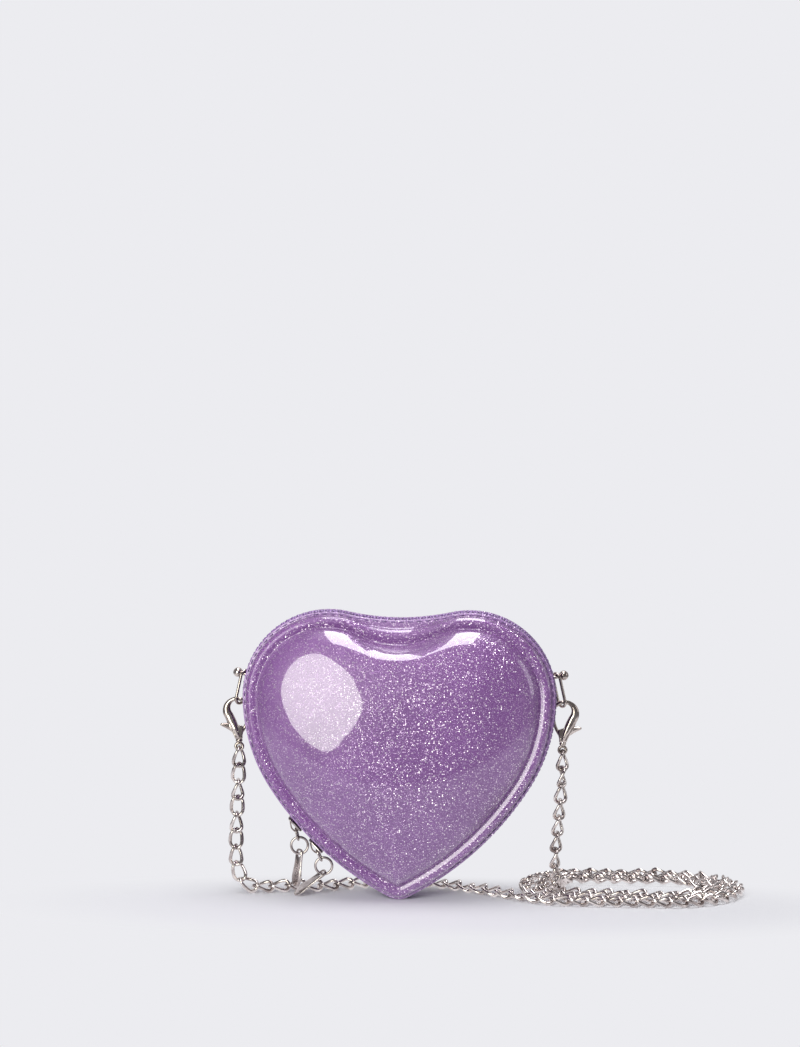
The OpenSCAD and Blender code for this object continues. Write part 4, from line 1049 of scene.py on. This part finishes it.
def pale(name, lit):
    """Backdrop colour for what the camera or clear material sees, plain diffuse otherwise. With lit, the
    middle of the floor is a lit surface that takes the object's shadow, and a reflection sees the pale
    table only as far as its front edge."""
    f = Finish(name)
    rays = f.node("LightPath").outputs
    seen = f.math("MAXIMUM", rays["Is Camera Ray"], rays["Is Transmission Ray"])
    mirrored_as = glow = f.node("Emission", {"Color": PALE, "Strength": 1.0}).outputs[0]
    plain = f.node("BsdfDiffuse", {"Color": MATT_PALE}).outputs[0]
    if lit:
        y = f.axis("Y")
        away = f.vector("SUBTRACT", f.vector("MULTIPLY", f.place, (1, 1, 0)), LIT_CENTRE)
        far = f.vector("LENGTH", f.vector("MULTIPLY", away, LIT_STRETCH), out="Value")
        seen = f.math("MULTIPLY", seen, f.math("MAXIMUM", f.ramp(far, *LIT_FADE), f.ramp(y, *LIT_BACK)))
        table = f.math("MULTIPLY", f.ramp(y, TABLE_EDGE - TABLE_BLUR, TABLE_EDGE + TABLE_BLUR),
                       f.ramp(f.math("ABSOLUTE", f.axis("X"), 0), *TABLE_SIDES))
        none = f.node("BsdfTransparent").outputs[0]
        bright = f.node("Emission", {"Color": PALE, "Strength": TABLE_GLOW}).outputs[0]
        mirrored_as = f.node("MixShader", {0: table, 1: none, 2: bright}).outputs[0]
    both = f.node("MixShader", {0: seen, 1: plain, 2: glow}).outputs[0]
    both = f.node("MixShader", {0: rays["Is Glossy Ray"], 1: both, 2: mirrored_as}).outputs[0]
    f.tree.links.new(both, f.out.inputs["Surface"])
    return f.material


def wall(name, low, high, material):
    """A flat stage surface between two opposite corners, one edge along X."""
    mesh = bpy.data.meshes.new(name)
    mesh.from_pydata([low, (high[0], *low[1:]), high, (low[0], *high[1:])], [], [[0, 1, 2, 3]])
    mesh.materials.append(material)
    obj = bpy.data.objects.new(name, mesh)
    bpy.context.collection.objects.link(obj)


wall("floor", (-STAGE_SIDE, STAGE_FRONT, 0), (STAGE_SIDE, STAGE_BACK, 0), pale("pale_floor", True))
wall("backdrop", (-STAGE_SIDE, STAGE_BACK, 0), (STAGE_SIDE, STAGE_BACK, STAGE_TOP),
     pale("pale_backdrop", False))

# Beyond the stage: a dim fill that lights, and the backdrop's colour for what the camera sees
FILL_COLOUR, FILL_STRENGTH = (0.86, 0.86, 0.9, 1), 0.3
world = bpy.data.worlds.new("studio")
bpy.context.scene.world = world
world.use_nodes = True
nodes, links = world.node_tree.nodes, world.node_tree.links
fill = nodes["Background"]
fill.inputs["Color"].default_value = FILL_COLOUR
fill.inputs["Strength"].default_value = FILL_STRENGTH
beyond = nodes.new("ShaderNodeBackground")
beyond.inputs["Color"].default_value = PALE
choice = nodes.new("ShaderNodeMixShader")
camera_ray = nodes.new("ShaderNodeLightPath").outputs["Is Camera Ray"]
for k, socket in enumerate((camera_ray, fill.outputs[0], beyond.outputs[0])):
    links.new(socket, choice.inputs[k])
links.new(choice.outputs[0], nodes["World Output"].inputs["Surface"])


def softbox(name, place, target, size, power, shine, shape="RECTANGLE", roll=0, tint=(1, 1, 1)):
    """An area light that faces target. With shine it is only seen mirrored, otherwise it only lights."""
    light = bpy.data.lights.new(name, "AREA")
    light.shape, light.energy, light.color = shape, power, tint
    light.size, light.size_y = size
    obj = bpy.data.objects.new(name, light)
    bpy.context.collection.objects.link(obj)
    obj.visible_glossy, obj.visible_diffuse = shine, not shine
    look(obj, place, target)
    obj.rotation_euler.rotate_axis("Z", math.radians(roll))


# Lamps, in metres and watts: the key from the front left and the top light, each with its own shine
LOW_AIM, HIGH_AIM = (0, 0, 0.05), (0, 0, 0.08)
softbox("key", (-0.45, -1.45, 0.7), HIGH_AIM, size=(1.2, 1.0), power=21.5, shine=False)
softbox("top", (0.0, -0.15, 1.5), LOW_AIM, size=(1.0, 0.8), power=9.8, shine=False)
softbox("key_shine", (-0.70, -1.35, 0.27), HIGH_AIM, size=(0.8, 1.27), power=15.8, shine=True,
        shape="ELLIPSE", roll=-10, tint=(0.96, 1.0, 0.88))
softbox("top_shine", (0.0, -0.1, 1.35), LOW_AIM, size=(0.5, 1.6), power=22, shine=True)
softbox("right_shine", (1.4, -0.2, 0.5), LOW_AIM, size=(0.5, 0.9), power=2.5, shine=True)

bpy.context.scene.view_settings.view_transform = "Standard"
